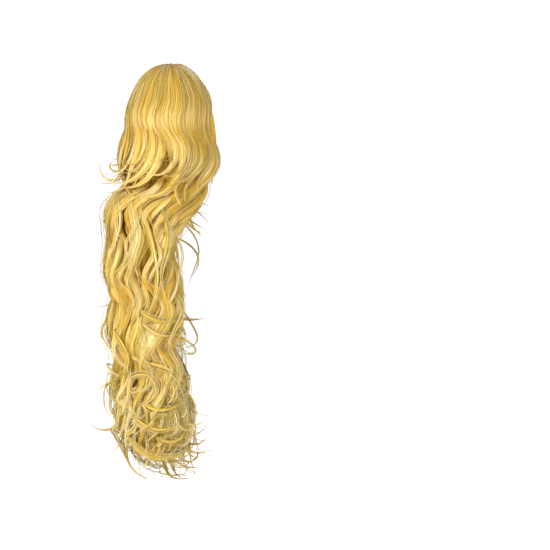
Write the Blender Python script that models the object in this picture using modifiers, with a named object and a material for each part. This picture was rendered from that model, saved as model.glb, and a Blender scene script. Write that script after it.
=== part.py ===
"""Long wavy ponytail hairpiece: a hollow base cap with a comb, and three layers of waved locks.

Metres, +Z up. The origin is the middle of the cap's mouth, where it sits on the back of the wearer's crown.
The wearer faces -Y, so the hair hangs on the +Y side. A turn is an angle round the hair, in degrees: 0 is
straight back, 90 is the wearer's left and 180 is forward. A drop is a distance below the origin.
"""

import math
from collections import namedtuple

import bmesh
import bpy
from mathutils import Matrix, Vector

# Fit: the rounded seat that the mouth and the underside of the crown layer follow
SEAT_WIDTH = 0.150
SEAT_DEPTH = 0.190
SEAT_HEIGHT = 0.220
SEAT_CLEARANCE = 0.0015
SEAT_SLOPE = 35.0  # degrees that the mouth is turned up from facing straight forward
FIT_GAP = 0.0003  # between pieces that touch

# Base cap: a round woven dome
CAP_DIAMETER = 0.072
CAP_DEPTH = 0.036
CAP_WALL = 0.002
CAP_STEPS = 28
CAP_PROFILE_STEPS = 5
MOUTH_CLEARANCE = 0.010  # kept free of hair in front of the mouth

# Comb: one flat piece inside the upper edge of the mouth
COMB_SPAN = 80.0  # degrees of the mouth that the spine follows
COMB_SPINE = 0.005
COMB_THICKNESS = 0.0018
COMB_SETBACK = 0.0012  # from the plane of the mouth into the hollow
TOOTH_LENGTH = 0.013
TOOTH_WIDTH = 0.0016
TOOTH_COUNT = 8
SPINE_STEPS = 12

# Crown layer: the dome of hair over the cap
CREST_HEIGHT = 0.078
SHOULDER_DROP = 0.069  # where the dome has its full width
CROWN_HALF_WIDTH = 0.086
CROWN_SETBACK = 0.0417
CROWN_BACK = 0.070
CROWN_FRONT = 0.088
HEM_BACK_DROP = 0.098
HEM_SIDE_DROP = 0.138
HEM_FRONT_HEIGHT = 0.020
HEM_SIDE_TURNS = (50, 95)  # where the hem runs from short to long
HEM_FRONT_TURNS = (118, 160)  # and from long up to the mouth's upper rim
HEM_FLARE_TURNS = (70, 110)  # where the flare dies away
HEM_TIP_TURNS = (105, 140)  # where the tips die away
HEM_FLARE = 0.007  # how far the hem stands out from the dome behind and beside
CROWN_GROOVE = 0.0055
CROWN_LOCKS = 15
LIP_INSET = 0.007  # rounded underside of the hem

# Middle layer and long lengths
TAIL_DROP = 0.570
TAIL_HALF_WIDTH = 0.064
TAIL_HALF_DEPTH = 0.050
TAIL_SETBACK = 0.095
TAIL_GROOVE = 0.0065
TAIL_LOCKS = 12
LOCK_LIFT = 0.0036  # how far each lock stands in and out along its waves
ROOT_HALF_WIDTH = 0.057  # the bundle where it is tucked under the crown layer
ROOT_HALF_DEPTH = 0.030
ROOT_SETBACK = 0.067
ROOT_DROP = 0.044
FLARE_LENGTH = 0.055
MIDDLE_ROOT_DROP = 0.074
MIDDLE_HEM_DROP = 0.352
MIDDLE_THICKNESS = 0.015
TIP_LENGTH = 0.016  # how far a lock's point hangs below the hollow beside it

# Waves of the locks
WAVE_SWING = 0.014
WAVE_LENGTH = 0.130
WAVE_STEPS = 100  # along the hair, to add up the waves passed
WAVE_SCATTER = 0.011  # how far the waves run ahead and behind round the hair

# Loose ends that turn outwards
HOOK_LENGTH = 0.080
HOOK_WIDTH = 0.022
HOOK_FLATNESS = 0.45  # thickness as a share of width
HOOK_SINK = 0.006  # how far a loose end starts below the surface of its layer
HOOK_STEPS = 6
HOOK_SIDES = 6

# Mesh columns of one lock, as shares of the groove's depth
LOCK_PROFILE = (1.0, 0.35, 0.0, 0.35)
CROWN_ROWS = 11
MIDDLE_ROWS = 14
COVERED_ROWS = 7  # of the long lengths, inside the middle layer
TAIL_ROWS = 16

# drop: share of TAIL_DROP. wide, deep, back: shares of the half width, the half depth and the setback
Section = namedtuple("Section", "drop wide deep back")
TAIL_SECTIONS = (
    Section(0.22, 0.94, 0.96, 0.96),
    Section(0.32, 0.98, 1.00, 0.98),
    Section(0.38, 1.02, 1.04, 0.99),
    Section(0.46, 1.05, 1.06, 0.93),
    Section(0.51, 1.09, 1.07, 0.89),
    Section(0.60, 0.99, 1.00, 0.92),
    Section(0.65, 0.86, 0.87, 0.91),
    Section(0.69, 0.89, 0.90, 0.85),
    Section(0.75, 1.02, 1.04, 0.79),
    Section(0.80, 1.03, 1.06, 0.77),
    Section(0.87, 1.03, 1.05, 0.73),
    Section(0.92, 0.97, 0.98, 0.68),
    Section(0.96, 0.78, 0.80, 0.62),
    Section(1.00, 0.42, 0.44, 0.56),
)

# drop: share of TAIL_DROP below the crest. swing, length: shares of WAVE_SWING and WAVE_LENGTH
Wave = namedtuple("Wave", "drop swing length")
WAVES = (
    Wave(0.05, 0.00, 1.15),
    Wave(0.20, 0.85, 0.95),
    Wave(0.45, 1.00, 1.05),
    Wave(0.75, 0.90, 0.80),
    Wave(1.20, 0.75, 0.55),
)

# root: share of the layer's hem drop. long, wide: shares of HOOK_LENGTH and HOOK_WIDTH. bend: in degrees
Hook = namedtuple("Hook", "turn root long bend lean wide")
CROWN_HOOKS = (
    Hook(-112, 0.74, 0.90, 70, 0.30, 0.95),
    Hook(-92, 0.72, 1.10, 85, 0.45, 1.05),
    Hook(-68, 0.72, 1.05, 75, -0.45, 1.10),
    Hook(-42, 0.72, 0.85, 80, 0.55, 1.05),
    Hook(-14, 0.74, 0.75, 90, -0.35, 1.05),
    Hook(14, 0.74, 0.80, 105, 0.35, 1.05),
    Hook(40, 0.70, 1.00, 150, 0.20, 1.00),
    Hook(64, 0.70, 1.00, 140, -0.25, 0.95),
    Hook(90, 0.72, 1.00, 90, 0.35, 1.00),
    Hook(112, 0.74, 0.90, 70, -0.30, 0.95),
)
MIDDLE_HOOKS = (
    Hook(-140, 0.74, 1.00, 130, 0.15, 0.80),
    Hook(-95, 0.79, 0.95, 105, -0.30, 0.85),
    Hook(-50, 0.81, 0.75, 75, 0.40, 0.95),
    Hook(-8, 0.81, 0.80, 85, -0.35, 0.95),
    Hook(38, 0.81, 0.85, 95, 0.30, 0.90),
    Hook(82, 0.78, 0.95, 125, -0.20, 0.85),
    Hook(128, 0.78, 0.85, 95, 0.30, 0.85),
    Hook(172, 0.78, 0.80, 85, 0.30, 0.85),
)
TAIL_HOOKS = (
    Hook(56, 0.690, 1.20, 210, 0.15, 0.75),
    Hook(98, 0.720, 1.05, 175, -0.30, 0.75),
    Hook(18, 0.720, 0.90, 100, 0.30, 0.85),
    Hook(-26, 0.700, 0.95, 90, -0.35, 0.90),
    Hook(-72, 0.700, 1.00, 115, 0.30, 0.85),
    Hook(-122, 0.740, 0.95, 165, -0.20, 0.75),
    Hook(-150, 0.810, 0.95, 150, 0.20, 0.75),
    Hook(-96, 0.840, 0.90, 125, 0.35, 0.75),
    Hook(-46, 0.850, 0.85, 95, -0.35, 0.80),
    Hook(2, 0.840, 0.90, 105, 0.35, 0.80),
    Hook(48, 0.830, 1.00, 130, -0.30, 0.80),
    Hook(112, 0.840, 0.90, 125, 0.30, 0.75),
    Hook(165, 0.770, 0.90, 120, -0.30, 0.75),
)

GOLDEN_BLONDE = (0.72, 0.47, 0.16, 1.0)
HONEY_BLONDE = (0.62, 0.38, 0.11, 1.0)
DEEP_BLONDE = (0.55, 0.32, 0.08, 1.0)
WEAVE_TAN = (0.55, 0.38, 0.18, 1.0)
COMB_BROWN = (0.25, 0.15, 0.06, 1.0)

GOLDEN_RATIO = (1 + math.sqrt(5)) / 2
CAP_RADIUS = CAP_DIAMETER / 2
SLOPE = math.radians(SEAT_SLOPE)
SEAT_OUT = Vector((0, math.cos(SLOPE), math.sin(SLOPE)))
SEAT_UP = Vector((0, -math.sin(SLOPE), math.cos(SLOPE)))
SEAT_FRAME = Matrix((SEAT_UP.cross(SEAT_OUT), SEAT_UP, SEAT_OUT)).transposed().to_4x4()
HEM_LOW = HEM_BACK_DROP + TIP_LENGTH + FIT_GAP
MIDDLE_LOW = MIDDLE_HEM_DROP + TIP_LENGTH + FIT_GAP


def mix(a, b, share):
    return a + (b - a) * share


def ease(low, high, value):
    """0 below low, 1 above high, and smooth between."""
    share = min(1.0, max(0.0, (value - low) / (high - low)))
    return share * share * (3 - 2 * share)


def row_at(rows, value):
    """The table's row at this value of its first column, read smoothly between its neighbours."""
    if value <= rows[0][0]:
        return rows[0]
    for low, high in zip(rows, rows[1:]):
        if value <= high[0]:
            share = ease(low[0], high[0], value)
            return type(low)(*(mix(a, b, share) for a, b in zip(low, high)))
    return rows[-1]


def swing_at(drop):
    """How far a lock has swung sideways at this drop."""
    passed = 0.0
    below = WAVES[0].drop * TAIL_DROP
    reach = drop + CREST_HEIGHT
    while below < reach:
        step = min(TAIL_DROP / WAVE_STEPS, reach - below)
        passed += step / (WAVE_LENGTH * row_at(WAVES, below / TAIL_DROP).length)
        below += step
    swing = WAVE_SWING * row_at(WAVES, reach / TAIL_DROP).swing
    return swing * math.sin(math.tau * passed)


def columns_of(locks):
    """(turn, share of the groove's depth, number of its lock) of each mesh column round a layer."""
    width = len(LOCK_PROFILE)
    return [(360 * k / (locks * width), LOCK_PROFILE[k % width], k // width) for k in range(locks * width)]


def lift_at(drop, lock):
    """How far a lock stands out of its layer at this drop. The golden ratio keeps neighbours out of step."""
    return LOCK_LIFT * math.sin(math.tau * (drop / WAVE_LENGTH + lock * GOLDEN_RATIO))


def swing_round(turn, drop):
    """The sideways swing, whose waves run ahead and behind by turns round the hair."""
    return swing_at(drop + WAVE_SCATTER * math.sin(2 * math.radians(turn)))


def oval_point(turn, wide, front, back, setback, drop):
    angle = math.radians(turn)
    deep = back if math.cos(angle) > 0 else front
    return Vector((wide * math.sin(angle), setback + deep * math.cos(angle), -drop))


def side_turn(turn):
    """The size of a turn either way from straight back."""
    return abs((turn + 180) % 360 - 180)


def crown_hem_drop(turn):
    """The crown layer's lower edge: short behind, long at the sides and at the mouth's upper rim in front."""
    away = side_turn(turn)
    hanging = mix(HEM_BACK_DROP, HEM_SIDE_DROP, ease(*HEM_SIDE_TURNS, away))
    return mix(hanging, -HEM_FRONT_HEIGHT, ease(*HEM_FRONT_TURNS, away))


def crown_point(turn, share, groove=0.0, lock=0, inset=0.0):
    """A point of the dome, from share 0 at the crest to share 1 at the hem."""
    fall = 1 - math.cos(math.pi / 2 * share)
    tips = TIP_LENGTH * (1 - groove) * ease(0.6, 1.0, share) * (1 - ease(*HEM_TIP_TURNS, side_turn(turn)))
    drop = mix(-CREST_HEIGHT, crown_hem_drop(turn), fall) + tips
    rise = min(1.0, max(0.0, (SHOULDER_DROP - drop) / (SHOULDER_DROP + CREST_HEIGHT)))
    out = math.sqrt(1 - rise**2)
    waved = ease(0.2, 0.7, share)
    flare = HEM_FLARE * ease(0.7, 1.0, share) * (1 - ease(*HEM_FLARE_TURNS, side_turn(turn)))
    sunk = inset + (CROWN_GROOVE * groove - lift_at(drop, lock)) * waved - flare
    swung = turn + math.degrees(swing_round(turn, drop) / CROWN_HALF_WIDTH) * waved
    sizes = ((size - sunk) * out for size in (CROWN_HALF_WIDTH, CROWN_FRONT, CROWN_BACK))
    return oval_point(swung, *sizes, CROWN_SETBACK, drop)


def tail_point(turn, drop, inset=0.0, groove=0.0, lock=0, waved=1.0):
    """A point of the bundle's outside: tucked at first, then swelling to its own outline below the crown."""
    row = row_at(TAIL_SECTIONS, drop / TAIL_DROP)
    free = ease(HEM_LOW, HEM_LOW + FLARE_LENGTH, drop)
    wide = mix(ROOT_HALF_WIDTH, TAIL_HALF_WIDTH * row.wide, free)
    deep = mix(ROOT_HALF_DEPTH, TAIL_HALF_DEPTH * row.deep, free)
    setback = mix(ROOT_SETBACK, TAIL_SETBACK * row.back, free)
    sunk = inset + (TAIL_GROOVE * groove - lift_at(drop, lock)) * free * waved
    swung = turn + math.degrees(swing_round(turn, drop) / TAIL_HALF_WIDTH) * free * waved
    return oval_point(swung, wide - sunk, deep - sunk, deep - sunk, setback, drop)


def core_inset(drop):
    """How far the long lengths lie inside the middle layer, and nothing once they are past its hem."""
    return MIDDLE_THICKNESS * (1 - ease(MIDDLE_LOW, MIDDLE_LOW + FLARE_LENGTH, drop))


def material(name, colour, roughness):
    made = bpy.data.materials.new(name)
    made.use_nodes = True
    surface = made.node_tree.nodes["Principled BSDF"]
    surface.inputs["Base Color"].default_value = colour
    surface.inputs["Roughness"].default_value = roughness
    surface.inputs["Metallic"].default_value = 0.0
    made.diffuse_color = colour
    return made


def piece(name, mesh, finish):
    """A visible sub-part in the hairpiece's own collection."""
    made = bpy.data.objects.new(name, mesh)
    mesh.materials.append(finish)
    mesh.shade_smooth()
    pieces.objects.link(made)
    return made


def helper(name, mesh):
    """A shape that is only joined to a piece or cut from one."""
    made = bpy.data.objects.new(name, mesh)
    made.hide_render = True
    made.display_type = "WIRE"
    helpers.objects.link(made)
    return made


def combine(target, other, operation):
    step = target.modifiers.new(other.name, "BOOLEAN")
    step.operation = operation
    step.solver = "EXACT"
    step.object = other


def closed_loft(name, rings):
    """A closed mesh through rings of equal count, with each end closed to the middle of its last ring."""
    count = len(rings[0])
    points = [point for ring in rings for point in ring]
    faces = []
    for row in range(len(rings) - 1):
        for column in range(count):
            beside = (column + 1) % count
            near = row * count
            far = near + count
            faces.append((near + column, near + beside, far + beside, far + column))
    for first in (0, len(points) - count):
        middle = len(points)
        points.append(sum((points[first + k] for k in range(count)), Vector()) / count)
        faces += [(first + column, first + (column + 1) % count, middle) for column in range(count)]
    mesh = bpy.data.meshes.new(name)
    mesh.from_pydata(points, [], faces)
    return facing_out(mesh)


def facing_out(mesh):
    shaped = bmesh.new()
    shaped.from_mesh(mesh)
    bmesh.ops.recalc_face_normals(shaped, faces=shaped.faces)
    bmesh.ops.triangulate(shaped, faces=shaped.faces)
    shaped.to_mesh(mesh)
    shaped.free()
    return mesh


def turned(name, profile, smooth):
    """A profile turned round the seat's axis, with the Screw modifier applied to a plain mesh."""
    mesh = bpy.data.meshes.new(name)
    points = [(radius, 0, height) for radius, height in profile]
    edges = [(k, k + 1) for k in range(len(points) - 1)]
    mesh.from_pydata(points, edges, [])
    turning = bpy.data.objects.new(name, mesh)
    helpers.objects.link(turning)
    screw = turning.modifiers.new("turn", "SCREW")
    screw.steps = CAP_STEPS
    screw.render_steps = CAP_STEPS
    screw.use_merge_vertices = True
    screw.merge_threshold = 0.0001
    screw.use_smooth_shade = smooth
    bpy.context.view_layer.update()
    shaped = turning.evaluated_get(bpy.context.evaluated_depsgraph_get())
    made = bpy.data.meshes.new_from_object(shaped)
    bpy.data.objects.remove(turning)
    made.transform(SEAT_FRAME)
    return made


def dome_profile(radius, height):
    """(radius, height) points down the outside of a dome, from its top to its rim."""
    angles = [math.pi / 2 * (1 - k / CAP_PROFILE_STEPS) for k in range(CAP_PROFILE_STEPS + 1)]
    return [(radius * math.cos(a) if k else 0.0, height * math.sin(a)) for k, a in enumerate(angles)]


def make_base_cap():
    outside = dome_profile(CAP_RADIUS, CAP_DEPTH)
    inside = dome_profile(CAP_RADIUS - CAP_WALL, CAP_DEPTH - CAP_WALL)
    mesh = turned("base_cap", outside + inside[::-1], True)
    return piece("base_cap", mesh, material("cap_weave", WEAVE_TAN, 0.85))


def make_cap_room():
    """The cap with its gap, and the clear space in front of its mouth."""
    outside = dome_profile(CAP_RADIUS + FIT_GAP, CAP_DEPTH + FIT_GAP)
    skirt = [(CAP_RADIUS + FIT_GAP, -MOUTH_CLEARANCE), (0.0, -MOUTH_CLEARANCE)]
    return helper("cap_room", turned("cap_room", outside + skirt, False))


def inner_radius(height):
    """The cap's inside radius at this height above the mouth, measured to the middle of a facet."""
    profile = dome_profile(CAP_RADIUS - CAP_WALL, CAP_DEPTH - CAP_WALL)[::-1]
    for (low_radius, low), (high_radius, high) in zip(profile, profile[1:]):
        if height <= high:
            return mix(low_radius, high_radius, (height - low) / (high - low)) * math.cos(math.pi / CAP_STEPS)
    return 0.0


def comb_outline():
    """Points round the comb in the plane of the mouth: along the spine, then back along the teeth."""
    outer = inner_radius(COMB_SETBACK + COMB_THICKNESS) - FIT_GAP
    inner = outer - COMB_SPINE
    half = math.radians(COMB_SPAN / 2)
    points = []
    for k in range(SPINE_STEPS + 1):
        angle = mix(-half, half, k / SPINE_STEPS)
        points.append((outer * math.sin(angle), outer * math.cos(angle)))
    reach = inner * math.sin(half) - TOOTH_WIDTH / 2
    for k in range(TOOTH_COUNT):
        middle = mix(reach, -reach, k / (TOOTH_COUNT - 1))
        for side, length in ((1, 0.0), (1, 0.85), (0, 1.0), (-1, 0.85), (-1, 0.0)):
            across = middle + side * TOOTH_WIDTH / 2
            points.append((across, math.sqrt(inner**2 - middle**2) - length * TOOTH_LENGTH))
    return points


def make_comb():
    outline = bpy.data.curves.new("comb", "CURVE")
    outline.dimensions = "2D"
    outline.fill_mode = "BOTH"
    outline.extrude = COMB_THICKNESS / 2
    points = comb_outline()
    spline = outline.splines.new("POLY")
    spline.points.add(len(points) - 1)
    for point, (across, up) in zip(spline.points, points):
        point.co = (across, up, 0, 1)
    spline.use_cyclic_u = True
    flat = bpy.data.objects.new("comb_outline", outline)
    helpers.objects.link(flat)
    bpy.context.view_layer.update()
    mesh = bpy.data.meshes.new_from_object(flat.evaluated_get(bpy.context.evaluated_depsgraph_get()))
    bpy.data.objects.remove(flat)
    shaped = bmesh.new()
    shaped.from_mesh(mesh)
    bmesh.ops.remove_doubles(shaped, verts=shaped.verts, dist=0.00001)
    shaped.to_mesh(mesh)
    shaped.free()
    depth = COMB_SETBACK + COMB_THICKNESS / 2
    mesh.transform(SEAT_FRAME @ Matrix.Translation((0, 0, depth)))
    made = piece("comb", facing_out(mesh), material("comb_plastic", COMB_BROWN, 0.35))
    mesh.shade_flat()
    return made


def seat_middle():
    """The middle of the rounded seat, which stands into the mouth as far as the mouth's rim allows."""
    deep = SEAT_DEPTH / 2
    high = SEAT_HEIGHT / 2
    reach = math.hypot(deep * SEAT_OUT.y, high * SEAT_OUT.z)
    touch = Vector((0, deep**2 * SEAT_OUT.y, high**2 * SEAT_OUT.z)) / reach
    bend = (deep * high) ** 2 / reach**3
    return SEAT_OUT * (CAP_RADIUS**2 / (2 * bend)) - touch


def make_seat_room():
    """The seat's rounded form with its clearance."""
    shaped = bmesh.new()
    bmesh.ops.create_uvsphere(shaped, u_segments=28, v_segments=18, radius=1)
    half_sizes = Vector((SEAT_WIDTH, SEAT_DEPTH, SEAT_HEIGHT)) / 2
    grown = [size + SEAT_CLEARANCE for size in half_sizes]
    place = Matrix.Translation(seat_middle()) @ Matrix.Diagonal((*grown, 1))
    bmesh.ops.transform(shaped, matrix=place, verts=shaped.verts)
    mesh = bpy.data.meshes.new("seat_room")
    shaped.to_mesh(mesh)
    shaped.free()
    return helper("seat_room", facing_out(mesh))


def hook_mesh(name, hook, root, outward):
    """A flat tapering end that leaves its layer downwards and bends outwards."""
    side = outward.cross(Vector((0, 0, 1)))
    length = HOOK_LENGTH * hook.long
    width = HOOK_WIDTH * hook.wide
    place = root - outward * HOOK_SINK
    rings = []
    for step in range(HOOK_STEPS + 1):
        share = step / HOOK_STEPS
        bend = math.radians(hook.bend) * share**1.15
        leaning = side * hook.lean * math.sin(math.pi * 1.6 * share)
        forward = (Vector((0, 0, -math.cos(bend))) + outward * math.sin(bend) + leaning).normalized()
        across = (side - forward * side.dot(forward)).normalized()
        through = forward.cross(across)
        half = width / 2 * (1 - 0.9 * share**2)
        ring = []
        for k in range(HOOK_SIDES):
            angle = math.tau * k / HOOK_SIDES
            offset = across * math.cos(angle) + through * HOOK_FLATNESS * math.sin(angle)
            ring.append(place + offset * half)
        rings.append(ring)
        place = place + forward * length / HOOK_STEPS
    return closed_loft(name, rings)


def outward_at(turn):
    angle = math.radians(turn)
    return Vector((math.sin(angle), math.cos(angle), 0))


def add_hooks(target, hooks, root_of):
    for number, hook in enumerate(hooks):
        name = f"{target.name}_end_{number + 1}"
        end = helper(name, hook_mesh(name, hook, root_of(hook), outward_at(hook.turn)))
        combine(target, end, "UNION")


def crown_hook_root(hook):
    fall = (hook.root * crown_hem_drop(hook.turn) + CREST_HEIGHT) / (crown_hem_drop(hook.turn) + CREST_HEIGHT)
    return crown_point(hook.turn, math.acos(1 - fall) / (math.pi / 2), groove=0.5)


def make_crown_layer():
    columns = columns_of(CROWN_LOCKS)
    rings = []
    for row in range(1, CROWN_ROWS + 1):
        rings.append([crown_point(turn, row / CROWN_ROWS, groove, lock) for turn, groove, lock in columns])
    lip = [crown_point(turn, 1 - 0.5 / CROWN_ROWS, 0.0, lock, LIP_INSET) for turn, groove, lock in columns]
    mesh = closed_loft("crown_layer", rings + [lip])
    made = piece("crown_layer", mesh, material("crown_hair", GOLDEN_BLONDE, 0.45))
    add_hooks(made, CROWN_HOOKS, crown_hook_root)
    return made


def middle_rings(grow=0.0):
    """Rings of the middle layer's outside, where each lock ends in a point."""
    rings = []
    for row in range(MIDDLE_ROWS + 1):
        share = row / MIDDLE_ROWS
        ring = []
        for turn, groove, lock in columns_of(TAIL_LOCKS):
            tips = TIP_LENGTH * (1 - groove) * ease(0.75, 1.0, share)
            drop = mix(MIDDLE_ROOT_DROP - grow, MIDDLE_HEM_DROP + grow, share) + tips
            ring.append(tail_point(turn, drop, -grow, groove, lock))
        rings.append(ring)
    return rings


def long_rings(grow=0.0):
    """Rings of the long lengths: a plain core inside the middle layer, then waved locks down to the ends."""
    covered = [mix(ROOT_DROP - grow, MIDDLE_HEM_DROP, row / COVERED_ROWS) for row in range(COVERED_ROWS)]
    low = TAIL_DROP - TIP_LENGTH + grow
    shown = [mix(MIDDLE_HEM_DROP, low, row / TAIL_ROWS) for row in range(TAIL_ROWS + 1)]
    rings = []
    for height in covered + shown:
        ring = []
        for turn, groove, lock in columns_of(TAIL_LOCKS):
            drop = height + TIP_LENGTH * (1 - groove) * ease(mix(MIDDLE_HEM_DROP, low, 0.7), low, height)
            waved = ease(MIDDLE_LOW, MIDDLE_LOW + FLARE_LENGTH, drop)
            ring.append(tail_point(turn, drop, core_inset(drop) - grow, groove, lock, waved))
        rings.append(ring)
    return rings


def tail_hook_root(hook, hem):
    return tail_point(hook.turn, hook.root * hem, groove=0.5)


def make_middle_layer():
    mesh = closed_loft("middle_layer", middle_rings())
    made = piece("middle_layer", mesh, material("middle_hair", HONEY_BLONDE, 0.45))
    add_hooks(made, MIDDLE_HOOKS, lambda hook: tail_hook_root(hook, MIDDLE_HEM_DROP))
    return made


def make_long_lengths():
    mesh = closed_loft("long_lengths", long_rings())
    made = piece("long_lengths", mesh, material("long_hair", DEEP_BLONDE, 0.45))
    add_hooks(made, TAIL_HOOKS, lambda hook: tail_hook_root(hook, TAIL_DROP))
    return made


for old in list(bpy.data.objects):
    bpy.data.objects.remove(old)
pieces = bpy.data.collections.new("ponytail_hairpiece")
helpers = bpy.data.collections.new("joining_and_cutting_shapes")
bpy.context.scene.collection.children.link(pieces)
bpy.context.scene.collection.children.link(helpers)

make_base_cap()
make_comb()
crown_layer = make_crown_layer()
middle_layer = make_middle_layer()
make_long_lengths()

middle_room = helper("middle_room", closed_loft("middle_room", middle_rings(FIT_GAP)))
long_room = helper("long_room", closed_loft("long_room", long_rings(FIT_GAP)))
combine(middle_layer, long_room, "DIFFERENCE")
combine(crown_layer, make_seat_room(), "DIFFERENCE")
combine(crown_layer, make_cap_room(), "DIFFERENCE")
combine(crown_layer, middle_room, "DIFFERENCE")
combine(crown_layer, long_room, "DIFFERENCE")
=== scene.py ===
"""Looks of a long wavy ponytail hairpiece: locks and loose strands of hair over its cap and comb.

Everything is in metres in the model's own frame: +Z up, the wearer faces -Y, and the origin is the middle of
the cap's mouth. A turn is an angle round the hair: 0 is straight back and +X is the wearer's left. A drop is
a distance below the origin. Guides are worked out here, and Geometry Nodes grow the strands along them.
"""

import math
from collections import namedtuple

import bmesh
import bpy
import numpy as np
from bpy.props import FloatProperty, FloatVectorProperty, IntProperty, PointerProperty
from mathutils import Matrix, Vector


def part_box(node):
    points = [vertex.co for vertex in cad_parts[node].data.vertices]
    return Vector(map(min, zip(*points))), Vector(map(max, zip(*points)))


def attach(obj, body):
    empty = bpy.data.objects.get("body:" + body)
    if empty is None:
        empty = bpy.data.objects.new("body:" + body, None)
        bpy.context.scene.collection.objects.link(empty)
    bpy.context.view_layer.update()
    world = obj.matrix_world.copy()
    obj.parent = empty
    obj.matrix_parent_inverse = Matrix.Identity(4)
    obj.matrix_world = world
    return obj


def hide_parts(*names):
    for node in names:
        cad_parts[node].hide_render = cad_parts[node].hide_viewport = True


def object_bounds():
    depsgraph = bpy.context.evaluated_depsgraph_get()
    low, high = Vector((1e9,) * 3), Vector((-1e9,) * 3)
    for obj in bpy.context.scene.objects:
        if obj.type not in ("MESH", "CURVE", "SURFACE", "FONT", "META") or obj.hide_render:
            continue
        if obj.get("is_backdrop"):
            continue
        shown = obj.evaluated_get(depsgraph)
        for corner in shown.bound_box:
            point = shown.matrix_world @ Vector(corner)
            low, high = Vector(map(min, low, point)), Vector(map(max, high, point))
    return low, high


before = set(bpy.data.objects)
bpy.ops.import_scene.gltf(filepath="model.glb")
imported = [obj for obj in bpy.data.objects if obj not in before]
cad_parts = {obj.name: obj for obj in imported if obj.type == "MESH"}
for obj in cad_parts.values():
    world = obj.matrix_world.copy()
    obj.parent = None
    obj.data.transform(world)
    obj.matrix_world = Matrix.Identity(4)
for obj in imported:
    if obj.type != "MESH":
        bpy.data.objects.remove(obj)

bl_info = {
    "name": "Wavy Ponytail Hairpiece",
    "version": (1, 0, 0),
    "blender": (4, 5, 0),
    "location": "3D View > Sidebar > Hairpiece",
    "description": "Dresses the hairpiece in locks, strands, woven cap and comb, and sets its studio stage",
    "category": "Object",
}

CAD_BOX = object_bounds()

# The model's own sizes, read from the frame or kept as the part has them
CREST_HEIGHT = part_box("crown_layer")[1].z
TAIL_DROP = -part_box("long_lengths")[0].z
SHOULDER_DROP = 0.069
CROWN_HALF_WIDTH = 0.086
CROWN_SETBACK = 0.0417
CROWN_BACK = 0.070
CROWN_FRONT = 0.088
HEM_BACK_DROP = 0.098
HEM_SIDE_DROP = 0.138
HEM_FRONT_HEIGHT = 0.020
TAIL_HALF_WIDTH = 0.064
TAIL_HALF_DEPTH = 0.050
TAIL_SETBACK = 0.095
ROOT_HALF_WIDTH = 0.057
ROOT_HALF_DEPTH = 0.030
ROOT_SETBACK = 0.067
FREE_DROP = 0.105
FREE_LENGTH = 0.050
CAP_RADIUS = 0.036
SEAT_HALF_SIZES = (0.0765, 0.0965, 0.1115)
SEAT_MIDDLE = (0.0, -0.0652, -0.0639)
SEAT_SLOPE = math.radians(35.0)

# drop: share of TAIL_DROP. wide, deep, back: shares of the half width, the half depth and the setback
Section = namedtuple("Section", "drop wide deep back")
TAIL_SECTIONS = (
    Section(0.22, 0.94, 0.96, 0.96),
    Section(0.32, 0.98, 1.00, 0.98),
    Section(0.38, 1.02, 1.04, 0.99),
    Section(0.46, 1.05, 1.06, 0.93),
    Section(0.51, 1.09, 1.07, 0.89),
    Section(0.60, 0.99, 1.00, 0.92),
    Section(0.65, 0.86, 0.87, 0.91),
    Section(0.69, 0.89, 0.90, 0.85),
    Section(0.75, 1.02, 1.04, 0.79),
    Section(0.80, 1.03, 1.06, 0.77),
    Section(0.87, 1.03, 1.05, 0.73),
    Section(0.92, 0.97, 0.98, 0.68),
    Section(0.96, 0.82, 0.84, 0.62),
    Section(1.00, 0.60, 0.62, 0.56),
)

# The photograph's frame, for the camera and for the loose locks
PHOTO_SIDE = 550
PHOTO_SCALE = 0.001566  # metres that one pixel spans at the hair
ORIGIN_PIXEL = (191, 113)
VIEW_AZIMUTH = 232.0
VIEW_ELEVATION = 2.0
CAMERA_DISTANCE = 3.2
SENSOR_WIDTH = 36.0

# The stage
AMBIENT_STRENGTH = 0.54  # light from all round, dimmer than the white that the camera sees behind the hair
WHITE_STRENGTH = 1.05
FLOOR_GLOW = 0.62
FLOOR_GAP = 0.08  # below the lowest solid
FLOOR_REACH = 9
LIGHT_TARGET = (0, TAIL_SETBACK, -0.25)
Lamp = namedtuple("Lamp", "name near right up size power")
LAMPS = (
    Lamp("key", 1.9, -1.2, 0.6, 0.8, 47),
    Lamp("fill", 1.6, 1.6, 0.4, 1.6, 6),
    Lamp("rim", -1.6, 0.6, 1.4, 1.0, 10),
)

# How locks are drawn
GUIDE_STEP = 0.004  # spacing of the worked-out path before it is resampled
LOCK_SIDES = 14
INNER_SIDES = 10
THIN_SIDES = 6
LOCK_HALF_WIDTHS = (0.0072, 0.0090, 0.0110, 0.0135)
FLAT_WRAP = 2.0  # radians either way that a flat lock's strands lie round it
ROUND_WRAP = 3.1
TIP_MARGIN = 0.010  # how far past the solids' box a guide may reach
HAIR_MARGIN = 0.016  # and the hair round it
HEAD_CLEARANCE = 0.004

# The crown's locks: an inset for each ring, and turns in degrees, which are below 0 on the wearer's right
CROWN_INSETS = (0.0040, 0.010)
CROWN_POINTS = 40
RIGHT_SIDE = (-165, -62)  # drawn in towards the tail
LONGER_SIDE = (-132, -62)
TURNED_OUT = (-165, -66)  # where some locks flip away from the tail
FRONT_SIDE = 88  # beyond this turn a lock hangs on the head's side
CROWN_TONES = (0.40, 0.85)

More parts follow.
